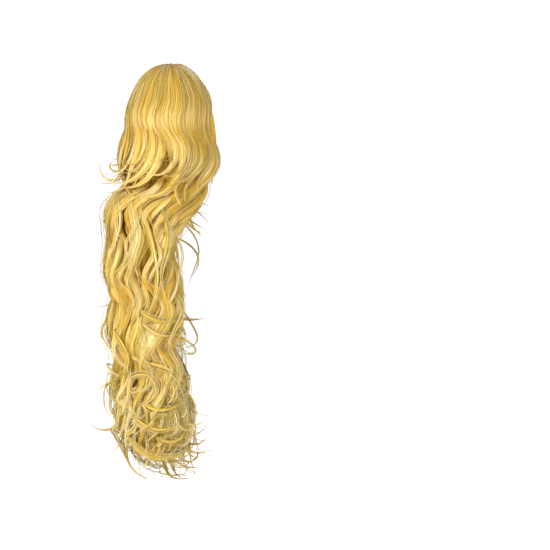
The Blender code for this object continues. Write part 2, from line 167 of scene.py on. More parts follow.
# The tail's two layers: drops, waves, points on each guide, bend of the tips in degrees, and unevenness
Fall = namedtuple("Fall", "start ends noise_seed tighten points tip_bend stray")
MIDDLE_FALL = Fall(0.070, (0.270, 0.400), 2.0, 1.3, 40, (20, 120), 0.25)
LONG_FALL = Fall(0.240, (0.445, 0.555), 3.4, 1.9, 43, (50, 170), 0.45)
MIDDLE_INSETS = (0.008, 0.016)
LONG_INSETS = (0.009, 0.020, 0.032)
TAIL_TONES = (0.18, 1.0)

# The other locks: where they start and end as drops, how long they are, and the length of one wave
TUCKED_ENDS = (0.185, 0.250)
CURL_STARTS = (0.360, 0.480)
CURL_LENGTHS = (0.060, 0.130)
CURL_LOWEST = 0.548
CURL_INSETS = (0.000, 0.005, 0.012, 0.020)
CURL_WAVES = (0.040, 0.062)
CURL_TONES = (0.75, 1.25)
DRIFT_STARTS = (0.095, 0.330)
DRIFT_LENGTHS = (0.090, 0.170)
DRIFT_WAVES = (0.075, 0.105)
LINING_TURN = 68  # degrees either way from straight back
LINING_WAVE = 0.11
LINING_STRANDS = 5
FOOT = (0.49, 0.56)  # drops over which the foot narrows
LIT_FOOT = (0.40, 0.49)  # drops over which the painted shade of the hair fades out towards the foot

# The locks drawn over the photograph's frame: points on each path, and how often its corners are eased
PATH_POINTS = 60
PATH_EASING = 60

# The hair beneath the locks: columns round it, and how far inside the outer surface it lies
DOME_COLUMNS = 72
DOME_INSET = 0.0085
HANGING_INSET = 0.009
BUNDLE_COLUMNS = 48
BUNDLE_DROPS = (0.060, 0.530)
CAP_CLEARANCE = 0.0012

# How a lock's body looks, and how its strands differ
BODY_TINT = (0.28, 0.32)  # at tone 0, and what tone 1 adds
RIB_DEPTH = 0.13
STRAND_TINT = (0.3, 0.4)
STRAY_POWER = 9.0  # the higher, the fewer strands leave their lock
STRAY_REACH = 0.9
TWIST = 0.9  # how far a strand goes round its lock by the tip, in radians
WAVER_PACE = (95.0, 40.0)  # radians per metre, and how much that varies
WAVER_SHIFT = 30.0
WAVER_GROWTH = 6.0  # share of the full waver that one metre from the root adds
TIP_TRIM = 0.16  # largest share of the length that a strand lacks
TIP_THINNING = 0.72


def ease(low, high, value):
    """0 below low, 1 above high, and smooth between, for numbers and arrays alike."""
    share = np.clip((np.asarray(value, float) - low) / (high - low), 0.0, 1.0)
    return share * share * (3 - 2 * share)


def crown_hem_drop(turn):
    """The lower edge of the crown layer at this turn, in radians."""
    away = math.degrees(abs((turn + math.pi) % math.tau - math.pi))
    hanging = HEM_BACK_DROP + (HEM_SIDE_DROP - HEM_BACK_DROP) * ease(50, 95, away)
    return float(hanging + (-HEM_FRONT_HEIGHT - hanging) * ease(118, 160, away))


def oval(turn, wide, front, back, setback, drop):
    """Points of an oval section, with the way out and the way along it."""
    deep = np.where(np.cos(turn) > 0, back, front)
    place = np.stack([wide * np.sin(turn), setback + deep * np.cos(turn), -drop], -1)
    out = np.stack([np.sin(turn) / wide, np.cos(turn) / deep, 0 * turn], -1)
    out /= np.linalg.norm(out, axis=-1, keepdims=True)
    along = np.stack([out[..., 1], -out[..., 0], out[..., 2]], -1)
    return place, out, along


def dome_points(turn, angle, inset):
    """The dome of the crown. angle runs from 0 at the crest to a quarter turn at the shoulder."""
    drop = SHOULDER_DROP - (SHOULDER_DROP + CREST_HEIGHT - inset) * np.cos(angle)
    spread = np.maximum(np.sin(angle), 0.03)
    full = (CROWN_HALF_WIDTH, CROWN_FRONT, CROWN_BACK)
    sizes = [np.maximum((size - inset) * spread, 0.002) for size in full]
    return oval(turn, *sizes, CROWN_SETBACK, drop)


def hanging_points(turn, drops, inset):
    """The crown's outline carried straight down, below its shoulder."""
    deep = (CROWN_FRONT - inset, CROWN_BACK - inset)
    return oval(np.full(len(drops), turn), CROWN_HALF_WIDTH - inset, *deep, CROWN_SETBACK, drops)


def tail_sizes(drop):
    """Half width, half depth and setback of the bundle at these drops."""
    rows = np.array(TAIL_SECTIONS)
    wide, deep, back = (np.interp(drop / TAIL_DROP, rows[:, 0], rows[:, k]) for k in (1, 2, 3))
    free = ease(FREE_DROP, FREE_DROP + FREE_LENGTH, drop)
    return (
        ROOT_HALF_WIDTH + (TAIL_HALF_WIDTH * wide - ROOT_HALF_WIDTH) * free,
        ROOT_HALF_DEPTH + (TAIL_HALF_DEPTH * deep - ROOT_HALF_DEPTH) * free,
        ROOT_SETBACK + (TAIL_SETBACK * back - ROOT_SETBACK) * free,
    )


def tail_points(turn, drop, inset):
    """Points of the bundle's outside, drawn in by the inset."""
    wide, deep, back = tail_sizes(drop)
    deep = np.maximum(deep - inset, 0.004)
    return oval(turn, np.maximum(wide - inset, 0.004), deep, deep, back, drop)


def resampled(points, count):
    """The path as this many points, evenly spaced along it."""
    run = run_of(points)
    wanted = np.linspace(0, run[-1], count)
    return np.stack([np.interp(wanted, run, points[:, k]) for k in range(3)], -1)


def smoothed(points, passes=2):
    """The path with its corners eased and its ends kept."""
    for _ in range(passes):
        inner = (points[:-2] + 2 * points[1:-1] + points[2:]) / 4
        points = np.concatenate([points[:1], inner, points[-1:]])
    return points


def carried_frames(points, start):
    """Unit tangents, and a side vector that is carried along the path without twisting."""
    tangents = np.gradient(points, axis=0)
    tangents /= np.linalg.norm(tangents, axis=1, keepdims=True)
    across = np.empty_like(points)
    side = np.array(start, float)
    for k, tangent in enumerate(tangents):
        side = side - tangent * side.dot(tangent)
        side /= max(np.linalg.norm(side), 1e-9)
        across[k] = side
    return tangents, across


class Guide:
    """The middle of one lock: its path, the way it lies, its half width at each point, its colouring and its
    painted shade.

    sunk is 0 where the lock stands out from its layer and 1 where it lies deep, at each of the given points,
    and adds painted shade where it lies deep.
    """

    def __init__(
        self, points, start_side, half_width, count, depth=0.0, root=0.3, tip=0.08, taper=0.62, sunk=None,
        ring=0, sides=LOCK_SIDES, tone=0.5
    ):
        self.points = resampled(smoothed(kept_near(points)), count)
        self.tangents, self.across = carried_frames(self.points, start_side)
        self.through = np.cross(self.across, self.tangents)
        along = np.linspace(0, 1, count)
        grown = root + (1 - root) * ease(0.0, 0.22, along)
        self.half = half_width * grown * (1 - (1 - tip) * ease(taper, 1.0, along) ** 0.9)
        self.along = along
        self.tone = tone
        self.ring = ring
        self.sides = sides
        dip = np.zeros(count)
        if sunk is not None:
            dip = np.interp(along * len(points), np.arange(len(sunk)), sunk)
        # depth is the lock's painted shade: its own share, and more where it is sunk
        self.depth = np.clip(depth + 0.55 * dip * (1 - depth), 0, 1)


def waves(run, wave_length, tighten, phase):
    """The phase of a lock's waves along its run, which tighten towards its end."""
    share = run / run[-1]
    pace = 1 + (tighten - 1) * ease(0.45, 1.0, share)
    return phase + math.tau * np.concatenate([[0], np.cumsum(np.diff(run) * pace[1:] / wave_length)])


def waved(base, out, along, phase, swing, plane, loop, growth):
    """The path, swung across and out in waves. With enough loop, the ends curl round on themselves."""
    across_share = math.cos(plane)
    out_share = math.sin(plane)
    sideways = np.sin(phase) * swing * growth
    forwards = np.cos(phase) * swing * growth
    moved = base + along * (sideways * across_share)[:, None]
    moved = moved + out * (sideways * out_share + 0.4 * forwards * across_share)[:, None]
    down = np.array([0, 0, -1.0])
    return moved + down * (loop * forwards)[:, None]


def run_of(points):
    """The distance along the path to each of its points."""
    return np.concatenate([[0], np.cumsum(np.linalg.norm(np.diff(points, axis=0), axis=1))])


def flipped_end(points, target, length, bend):
    """More path after the last point, which turns towards the target way through this bend, in radians."""
    count = max(6, int(length / GUIDE_STEP))
    last = points[-1]
    forward = points[-1] - points[-4]
    forward /= np.linalg.norm(forward)
    aside = target - forward * forward.dot(target)
    aside /= max(np.linalg.norm(aside), 1e-6)
    added = []
    for k in range(1, count + 1):
        angle = bend * (k / count) ** 1.1
        last = last + (forward * math.cos(angle) + aside * math.sin(angle)) * length / count
        added.append(last)
    return np.concatenate([points, added])


def kept_near(points, margin=TIP_MARGIN):
    """Draws in what reaches far outside the solid model's box, so that the piece keeps its real size."""
    low, high = (np.array(corner) for corner in CAD_BOX)
    low = low + np.array([0, 0, 0.004])
    above = np.maximum(points - high, 0)
    below = np.maximum(low - points, 0)
    inside = np.clip(points, low, high)
    return inside + margin * np.tanh(above / margin) - margin * np.tanh(below / margin)


def inside_head(points):
    """Which points lie in the room kept for the wearer's head."""
    share = (points - np.array(SEAT_MIDDLE)) / (np.array(SEAT_HALF_SIZES) + HEAD_CLEARANCE)
    return np.linalg.norm(share, axis=1) < 1


def slow_noise(turn, seed):
    """A smooth number from -1 to 1 that changes slowly round the hair."""
    broad = 0.5 * math.sin(2 * turn + seed) + 0.35 * math.sin(3 * turn + 2.1 * seed)
    return broad + 0.15 * math.sin(7 * turn)


def crown_path(turn, end, inset, first):
    """A lock's way from near the crest over the dome, and straight down from the shoulder to its end."""
    last = math.pi / 2
    if end < SHOULDER_DROP:
        last = math.acos(min(0.99, (SHOULDER_DROP - end) / (SHOULDER_DROP + CREST_HEIGHT)))
    angles = np.linspace(first, last, CROWN_POINTS)
    deeper = inset + 0.002 * (1 - ease(0.0, 0.3, angles))
    dome = dome_points(np.full(CROWN_POINTS, turn), angles, deeper)
    drops = np.arange(SHOULDER_DROP + GUIDE_STEP, end, GUIDE_STEP)
    if not len(drops):
        return dome
    return tuple(np.concatenate(pair) for pair in zip(dome, hanging_points(turn, drops, inset)))


def crown_flip(away, out, right, rng):
    """Which way a crown lock's end turns, how long the turned end is, and its bend in degrees."""
    if TURNED_OUT[0] < away < TURNED_OUT[1] and rng.random() < 0.45:
        target = right + np.array([0, 0, -0.1]) + rng.normal(0, 0.25, 3)
        return target, rng.uniform(0.030, 0.060), rng.uniform(40, 85)
    if RIGHT_SIDE[0] < away < -FRONT_SIDE:
        target = np.array([0.50, 0.72, -0.10]) + rng.normal(0, 0.25, 3)
        return target, rng.uniform(0.030, 0.060), rng.uniform(35, 95)
    if abs(away) >= FRONT_SIDE:
        target = out + np.array([0, 0.6, 0]) + rng.normal(0, 0.35, 3)
        return target, rng.uniform(0.015, 0.045), rng.uniform(15, 80)
    target = 0.55 * out + np.array([0.62, 0.79, 0.1]) * 0.9 + rng.normal(0, 0.30, 3)
    reach = 0.6 if away > -15 else 1.0
    return target, reach * rng.uniform(0.030, 0.080), rng.uniform(50, 130)


def crown_guide(turn, layer, sizes, rng):
    """One lock of the crown, or None where it would start inside the head's room."""
    right, _, _ = camera_axes()
    hem = crown_hem_drop(turn)
    flips = hem > 0.02
    end = hem + rng.uniform(-0.036, 0.012) if flips else hem
    first = rng.uniform(0.012, 0.055)
    away = math.degrees((turn + math.pi) % math.tau - math.pi)
    if LONGER_SIDE[0] < away < LONGER_SIDE[1]:
        end += rng.uniform(-0.005, 0.020)
    base, out, along = crown_path(turn, end, CROWN_INSETS[layer], first)
    drop = -base[:, 2]
    growth = ease(-0.025, 0.040, drop)
    drift = 0.5 * math.sin(2 * turn + 1.0) + rng.normal(0, 0.22)
    phase = math.tau * (drop + 0.002) / sizes.crown_wave + drift
    swing = sizes.crown_swing * growth * rng.uniform(0.85, 1.15)
    path = base + along * (swing * np.cos(phase))[:, None] - out * (0.35 * swing * np.sin(phase))[:, None]
    if RIGHT_SIDE[0] < away < RIGHT_SIDE[1]:
        tucked = 0.006 * ease(0.0, 0.05, drop) + 0.024 * ease(0.072, 0.160, drop)
        path = path - right * tucked[:, None]
    # painted shade in the troughs of the crown's waves
    sunk = 0.5 + 0.5 * np.sin(phase) * growth
    met = np.flatnonzero(inside_head(path))
    near_end = 12
    if len(met) and met[0] < near_end:
        return None
    if len(met):
        stop = met[0]
        inwards = 0.006 * ease(stop - near_end, stop, np.arange(stop))
        path = path[:stop] - out[:stop] * inwards[:, None]
    elif flips:
        target, length, bend = crown_flip(away, out[-1], right, rng)
        path = flipped_end(path, target, length, math.radians(bend))
    width = rng.uniform(0.0065, 0.0100) * (1 - 0.4 * float(ease(112, 135, abs(away))))
    sides = INNER_SIDES if layer else LOCK_SIDES
    sunk = sunk[: len(path)]
    # the inner ring gets painted shade
    return Guide(path, along[0], width, 30, depth=0.5 * layer, root=0.4, sunk=sunk, ring=layer, sides=sides)


def crown_guides(sizes):
    """Locks that fall from the crest over the dome, swing together and flip out at the hem."""
    rng = np.random.default_rng(sizes.seed)
    guides = []
    for layer, count in enumerate((sizes.crown_locks, sizes.crown_locks * 2 // 3)):
        for number in range(count):
            turn = math.tau * (number + rng.uniform(-0.35, 0.35)) / count
            guides.append(crown_guide(turn, layer, sizes, rng))
    return [guide for guide in guides if guide] + tucked_guides(sizes)


def tucked_guides(sizes):
    """Locks that fall from under the sides of the crown and lie in against the bundle."""
    rng = np.random.default_rng(sizes.seed + 12)
    guides = []
    for number in range(sizes.tucked_locks):
        side = -1 if number % 2 else 1
        turn = side * math.radians(68 + 46 * (number // 2 + rng.uniform(0, 1)) / (sizes.tucked_locks / 2))
        end = rng.uniform(*TUCKED_ENDS)
        drops = np.arange(SHOULDER_DROP + 0.005, end, GUIDE_STEP)
        share = (drops - drops[0]) / (drops[-1] - drops[0])
        high = hanging_points(turn, drops, rng.uniform(0.011, 0.017))
        lower_turns = np.full(len(drops), turn * rng.uniform(0.85, 1.1))
        low = tail_points(lower_turns, drops, rng.uniform(0.002, 0.010))
        met = ease(0.05, 0.85, share)[:, None]
        base, out, along = (first * (1 - met) + second * met for first, second in zip(high, low))
        length = sizes.wave_length * rng.uniform(0.9, 1.2)
        phase = waves(run_of(base), length, 1.2, rng.uniform(0, math.tau))
        swing = sizes.wave_swing * rng.uniform(0.6, 1.0)
        path = waved(base, out, along, phase, swing, rng.uniform(-0.5, 0.5), 0.1, ease(0.0, 0.3, share))
        width = rng.uniform(0.0060, 0.0095)
        # painted shade, deepest near the top under the crown
        style = {"depth": 0.2, "tip": 0.05, "sunk": 0.9 - 0.5 * share, "sides": INNER_SIDES}
        guides.append(Guide(path, along[0], width, 30, **style))
    return guides


def tail_guide(turn, group, layer, inset, fall, sizes, rng):
    """One lock of the bundle, which leans towards the turn of its group as it falls."""
    end = rng.uniform(*fall.ends)
    drops = np.arange(fall.start, end, GUIDE_STEP)
    share = (drops - fall.start) / (end - fall.start)
    turns = turn + (group - turn) * 0.5 * ease(0.25, 1.0, share)
    deeper = inset + rng.uniform(-0.003, 0.004) + 0.011 * (1 - ease(0.0, 0.16, share))
    base, out, along = tail_points(turns, drops, deeper)
    shift = 2.0 * slow_noise(turn, fall.noise_seed) + rng.normal(0, fall.stray)
    pace = 1 + 0.10 * slow_noise(turn, fall.noise_seed + 5) + rng.normal(0, 0.1 * fall.stray)
    phase = waves(run_of(base), sizes.wave_length * pace, fall.tighten, shift)
    started = ease(0.0, 0.12, share)
    loop = rng.uniform(0.1, 1.05) * ease(0.55, 0.92, share)
    swing = sizes.wave_swing * rng.uniform(0.85, 1.2)
    path = waved(base, out, along, phase, swing, rng.uniform(-0.5, 0.6), loop, started * (1 - 0.15 * share))
    # painted shade in the wave troughs and near the root under the crown
    raised = ((path - base) * out).sum(axis=1) / swing
    sunk = np.clip(0.5 - raised + 0.6 * (1 - started), 0, 1)
    if layer == 0 or rng.random() < 0.3:
        target = 0.6 * out[-1] + np.array([-0.45, -0.55, 0.2]) + rng.normal(0, 0.55, 3)
        bend = math.radians(rng.uniform(*fall.tip_bend))
        path = flipped_end(path, target, rng.uniform(0.025, 0.070), bend)
    width = rng.choice(LOCK_HALF_WIDTHS) * rng.uniform(0.85, 1.15)
    taper, sides = (0.65, INNER_SIDES) if layer else (0.46, LOCK_SIDES)
    # inner rings get painted shade
    style = {"depth": min(0.8, 0.38 * layer), "root": 0.25, "tip": 0.05, "taper": taper, "sunk": sunk}
    return Guide(path, along[0], width, fall.points, **style, ring=layer, sides=sides)


def tail_guides(sizes, rng, counts, insets, fall):
    """Rings of locks round the bundle, each ring with its own count and inset."""
    guides = []
    for layer, (count, inset) in enumerate(zip(counts, insets)):
        for number in range(count):
            turn = math.tau * (number + rng.uniform(-0.4, 0.4)) / count
            group = math.tau * (3 * (number // 3) + 1) / count
            guides.append(tail_guide(turn, group, layer, inset, fall, sizes, rng))
    return guides


def middle_guides(sizes):
    """Waved locks that fall from under the crown."""
    rng = np.random.default_rng(sizes.seed + 1)
    counts = (sizes.middle_locks, sizes.middle_locks * 3 // 5)
    return tail_guides(sizes, rng, counts, MIDDLE_INSETS, MIDDLE_FALL)


def long_guides(sizes):
    """Waved locks of the lower half, which curl at their ends."""
    rng = np.random.default_rng(sizes.seed + 2)
    counts = (sizes.long_locks, sizes.long_locks * 2 // 3, sizes.long_locks // 3)
    return tail_guides(sizes, rng, counts, LONG_INSETS, LONG_FALL)


def curl_guides(sizes):
    """Thin curled locks of the ends, which ring the bundle and fill out its rounded foot."""
    rng = np.random.default_rng(sizes.seed + 4)
    guides = []
    for number in range(sizes.end_curls):
        turn = math.tau * (number + rng.uniform(-0.5, 0.5)) / sizes.end_curls * 2
        inset = rng.choice(CURL_INSETS)
        start = rng.uniform(*CURL_STARTS)
        end = min(start + rng.uniform(*CURL_LENGTHS), CURL_LOWEST)
        drops = np.arange(start, end, GUIDE_STEP * 0.6)
        share = (drops - start) / (end - start)
        deeper = inset + 0.018 * ease(*FOOT, drops)
        base, out, along = tail_points(np.full(len(drops), turn), drops, deeper)
        phase = rng.uniform(0, math.tau) + (drops - start) * math.tau / rng.uniform(*CURL_WAVES)
        swing = rng.uniform(0.009, 0.0145)
        growth = ease(0.0, 0.25, share)
        plane, loop = rng.uniform(-0.9, 0.9), rng.uniform(0.7, 1.15)
        path = waved(base, out, along, phase, swing, plane, loop, growth)
        target = 0.4 * out[-1] + np.array([-0.6, -0.75, 0.35]) + rng.normal(0, 0.4, 3)
        path = flipped_end(path, target, rng.uniform(0.025, 0.060), math.radians(rng.uniform(80, 270)))
        # curls that lie further in get painted shade
        style = {"depth": 0.2 if inset > 0.010 else 0.0, "root": 0.4, "taper": 0.3, "sides": THIN_SIDES}
        guides.append(Guide(path, along[0], rng.uniform(0.0030, 0.0066), 34, **style))
    return guides


def drift_guides(sizes):
    """Thin locks that wander over the bundle and break up the broad ones."""
    rng = np.random.default_rng(sizes.seed + 10)
    guides = []
    for _ in range(sizes.drift_locks):
        start = rng.uniform(*DRIFT_STARTS)
        end = start + rng.uniform(*DRIFT_LENGTHS)
        drops = np.arange(start, end, GUIDE_STEP)
        share = (drops - start) / (end - start)
        turns = rng.uniform(0, math.tau) + rng.uniform(-0.5, 0.5) * share
        base, out, along = tail_points(turns, drops, 0.004 - 0.010 * ease(0.1, 0.5, share))
        phase = rng.uniform(0, math.tau) + (drops - start) * math.tau / rng.uniform(*DRIFT_WAVES)
        swing = rng.uniform(0.008, 0.014)
        path = waved(base, out, along, phase, swing, rng.uniform(-0.6, 0.6), 0.2, ease(0.0, 0.2, share))
        target = out[-1] + np.array([-0.2, -0.2, 0.2]) + rng.normal(0, 0.6, 3)
        path = flipped_end(path, target, rng.uniform(0.015, 0.040), math.radians(rng.uniform(30, 170)))
        width, tone = rng.uniform(0.0018, 0.0042), rng.uniform(0.3, 1.0)
        guides.append(Guide(path, along[0], width, 34, root=0.25, taper=0.5, tone=tone))
    return guides


def lining_guides(sizes):
    """Locks of the hollow side, which lie against the room kept for the head."""
    rng = np.random.default_rng(sizes.seed + 5)
    guides = []
    for number in range(sizes.lining_locks):
        swept = 2 * LINING_TURN * (number + rng.uniform(-0.3, 0.3)) / (sizes.lining_locks - 1)
        turn = math.radians(swept - LINING_TURN)
        aside = abs(turn) / math.radians(LINING_TURN)
        top = rng.uniform(0.012, 0.022) - 0.045 * float(ease(0.3, 1.0, aside))
        low = max(crown_hem_drop(turn) + rng.uniform(-0.030, 0.022), 0.07)
        drops = np.arange(-top, low, GUIDE_STEP)
        rise = np.clip((-drops - SEAT_MIDDLE[2]) / SEAT_HALF_SIZES[2], -0.99, 0.99)
        spread = np.sqrt(1 - rise**2)
        behind = 0.0040 + 0.0060 * (1 - ease(0.0, 0.012, drops + top))
        wide, deep = ((size + behind) * spread for size in SEAT_HALF_SIZES[:2])
        base, out, along = oval(np.full(len(drops), turn), wide, deep, deep, SEAT_MIDDLE[1], drops)
        sideways, back = base[:, 0] / CROWN_HALF_WIDTH, (base[:, 1] - CROWN_SETBACK) / CROWN_FRONT
        backed = sideways**2 + back**2 < 0.76
        backed &= np.linalg.norm(base, axis=1) > CAP_RADIUS + 0.003
        if backed.sum() < 8:
            continue
        base, out, along, drops = base[backed], out[backed], along[backed], drops[backed]
        phase = math.tau * drops / LINING_WAVE + rng.normal(0, 0.5)
        path = base + along * (0.004 * np.sin(phase))[:, None]
        width = rng.uniform(0.0045, 0.0080)
        # painted shade on the hollow side's locks
        guides.append(Guide(path, along[0], width, 22, depth=0.35, tip=0.1, sides=INNER_SIDES))
    return guides


# Loose locks at places in the photograph's frame: depth towards the camera in metres, then pixels along each
LOOSE_LOCKS = (
    (0.058, (128, 178), (120, 180), (111, 181), (106, 177), (103, 170), (103, 161)),
    (0.060, (126, 170), (119, 173), (113, 170), (113, 165), (118, 161)),
    (
        0.045, (176, 214), (187, 225), (196, 234), (201, 245), (201, 256), (196, 267), (190, 277), (192, 286),
        (186, 295)
    ),
    (0.050, (180, 238), (190, 243), (199, 252), (201, 262), (196, 272), (190, 279)),
    (0.055, (170, 308), (178, 315), (188, 318), (197, 318), (207, 316)),
    (0.050, (184, 308), (190, 317), (197, 328), (201, 337), (198, 343), (191, 345), (181, 346)),
    (0.060, (180, 332), (188, 339), (196, 344), (199, 348), (196, 352), (189, 352), (181, 348)),
    (0.055, (116, 306), (108, 318), (103, 329), (106, 338), (114, 346)),
    (0.060, (126, 374), (117, 370), (110, 364), (108, 361), (111, 360), (119, 366)),
    (0.050, (122, 374), (113, 379), (105, 384), (97, 390)),
    (0.062, (127, 366), (120, 372), (115, 380), (114, 389), (117, 399), (123, 404), (130, 406)),
    (0.058, (131, 378), (126, 388), (121, 398), (125, 404), (134, 406)),
    (0.052, (117, 376), (107, 384), (105, 396), (108, 409), (118, 420)),
    (0.050, (118, 428), (122, 440), (127, 453), (133, 465), (142, 474), (154, 478)),
    (0.045, (112, 426), (118, 436), (124, 449), (129, 460), (136, 469)),
    (0.055, (174, 426), (183, 432), (193, 433), (202, 430), (207, 421)),
    (0.060, (184, 438), (194, 441), (203, 439), (210, 430)),
    (0.050, (182, 455), (190, 459), (197, 456), (200, 449), (197, 444)),
    (0.055, (178, 458), (187, 463), (195, 464), (203, 463)),
    (0.060, (182, 386), (190, 393), (196, 402), (194, 411), (187, 417)),
    (0.052, (188, 410), (195, 418), (198, 427), (193, 433)),
    (0.056, (160, 468), (172, 472), (184, 471), (194, 474)),
    (0.070, (160, 192), (172, 200), (184, 207), (199, 212), (214, 214)),
    (0.060, (166, 196), (179, 203), (195, 209), (206, 217), (213, 227)),
    (0.050, (182, 190), (192, 197), (203, 203), (214, 208)),
    (0.055, (168, 206), (180, 213), (190, 220), (199, 225), (208, 231)),
    (0.075, (132, 255), (126, 262), (118, 267), (108, 271), (106, 262)),
    (0.085, (150, 276), (146, 290), (140, 300), (132, 306)),
    (0.090, (146, 312), (156, 318), (166, 320), (178, 319)),
    (0.088, (150, 366), (158, 362), (170, 364), (182, 372), (190, 382)),
)

# Locks that lie across the near side of the bundle, as pixels along each
CROSSING_LOCKS = (
    ((118, 190), (124, 204), (126, 222), (121, 240), (113, 256), (108, 266)),
    ((130, 188), (136, 204), (141, 222), (141, 240), (134, 256), (124, 268), (113, 276)),
    ((142, 200), (152, 222), (159, 246), (163, 270), (162, 292), (154, 310), (146, 322)),
    ((166, 208), (172, 230), (170, 250), (164, 268), (165, 286), (172, 300)),
    ((142, 304), (152, 313), (166, 318), (180, 318), (194, 314)),
    ((148, 320), (158, 329), (170, 333), (184, 330)),
    ((118, 326), (128, 342), (134, 356), (131, 368), (121, 374)),
    ((136, 352), (150, 358), (164, 360), (178, 367), (188, 378), (193, 390)),
    ((130, 376), (140, 369), (152, 368), (160, 377), (160, 390), (152, 398), (141, 397)),
    ((146, 398), (160, 404), (175, 403), (188, 395)),
    ((134, 408), (148, 419), (163, 424), (178, 421), (191, 410)),
    ((128, 428), (140, 443), (157, 452), (174, 452), (188, 446), (196, 436)),
    ((160, 430), (172, 436), (183, 434), (189, 424), (185, 415)),
)


def camera_axes():
    """The photograph's right, up and towards-the-camera ways, level with the floor."""
    azimuth = math.radians(VIEW_AZIMUTH)
    right = np.array([math.cos(azimuth), math.sin(azimuth), 0.0])
    return right, np.array([0, 0, 1.0]), np.array([math.sin(azimuth), -math.cos(azimuth), 0.0])


def shown_path(pixels):
    """A rounded path through these pixels, as metres to the right of the origin and above it."""
    shown = np.array(pixels, float)
    run = run_of(shown)
    fine = np.linspace(0, run[-1], PATH_POINTS)
    shown = smoothed(np.stack([np.interp(fine, run, shown[:, k]) for k in range(2)], -1), PATH_EASING)
    return (shown[:, 0] - ORIGIN_PIXEL[0]) * PHOTO_SCALE, (ORIGIN_PIXEL[1] - shown[:, 1]) * PHOTO_SCALE


def placed_path(sideways, rise, deep):
    """The path in the model's frame, at these depths towards the camera."""
    right, up, near = camera_axes()
    return right * sideways[:, None] + up * rise[:, None] + near * deep[:, None]


def bundle_depth(sideways, rise, margin):
    """How near the camera the bundle's surface is at these places, or its middle where they lie beside it."""
    wide, deep, back = (np.asarray(size) for size in tail_sizes(-rise))
    right, _, near = camera_axes()
    scale = np.stack([1 / (wide + margin), 1 / (deep + margin)], -1)
    start = (right[None, :2] * sideways[:, None] - np.stack([0 * back, back], -1)) * scale
    way = near[None, :2] * scale
    square = (way * way).sum(axis=1)
    half = (start * way).sum(axis=1)
    inside = np.maximum(half * half - square * ((start * start).sum(axis=1) - 1), 0)
    return (-half + np.sqrt(inside)) / square


def loose_guides(sizes):
    """The locks that stand clear of the bundle, and those that lie across it."""
    rng = np.random.default_rng(sizes.seed + 3)
    _, _, near = camera_axes()
    guides = []
    for depth, *pixels in LOOSE_LOCKS:
        deep = depth + 0.006 * np.sin(np.linspace(0, 4, PATH_POINTS) + rng.uniform(0, 6))
        path = placed_path(*shown_path(pixels), deep)
        # a little painted shade
        style = {"depth": 0.1, "root": 0.8, "taper": 0.45, "sides": THIN_SIDES}
        guides.append(Guide(path, near, rng.uniform(0.0018, 0.0032), 28, **style))
    for pixels in CROSSING_LOCKS:
        sideways, rise = shown_path(pixels)
        path = placed_path(sideways, rise, bundle_depth(sideways, rise, 0.003))
        start = np.cross(path[1] - path[0], near)
        width, tone = rng.uniform(0.0046, 0.0070), rng.uniform(0.4, 0.8)
        guides.append(Guide(path, start, width, 34, root=0.2, taper=0.4, sides=THIN_SIDES, tone=tone))
    return guides


def linked(name, data):
    """A new object of the scene that shows this mesh, light or camera."""
    made = bpy.data.objects.new(name, data)
    bpy.context.scene.collection.objects.link(made)
    return made


def turn_outwards(mesh, triangles=False):
    """Turns every face of a closed mesh outwards, and cuts them into triangles if asked."""
    shaped = bmesh.new()
    shaped.from_mesh(mesh)
    bmesh.ops.recalc_face_normals(shaped, faces=shaped.faces)
    if triangles:
        bmesh.ops.triangulate(shaped, faces=shaped.faces)
    shaped.to_mesh(mesh)
    shaped.free()


def applied_mesh(piece):
    """The piece's mesh as its modifiers leave it."""
    bpy.context.view_layer.update()
    graph = bpy.context.evaluated_depsgraph_get()
    return bpy.data.meshes.new_from_object(piece.evaluated_get(graph), depsgraph=graph)


def finished(piece, nodes=()):
    """Hangs a finished piece on the root, and hides the solids that it stands for."""
    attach(piece, "root")
    if nodes:
        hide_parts(*nodes)


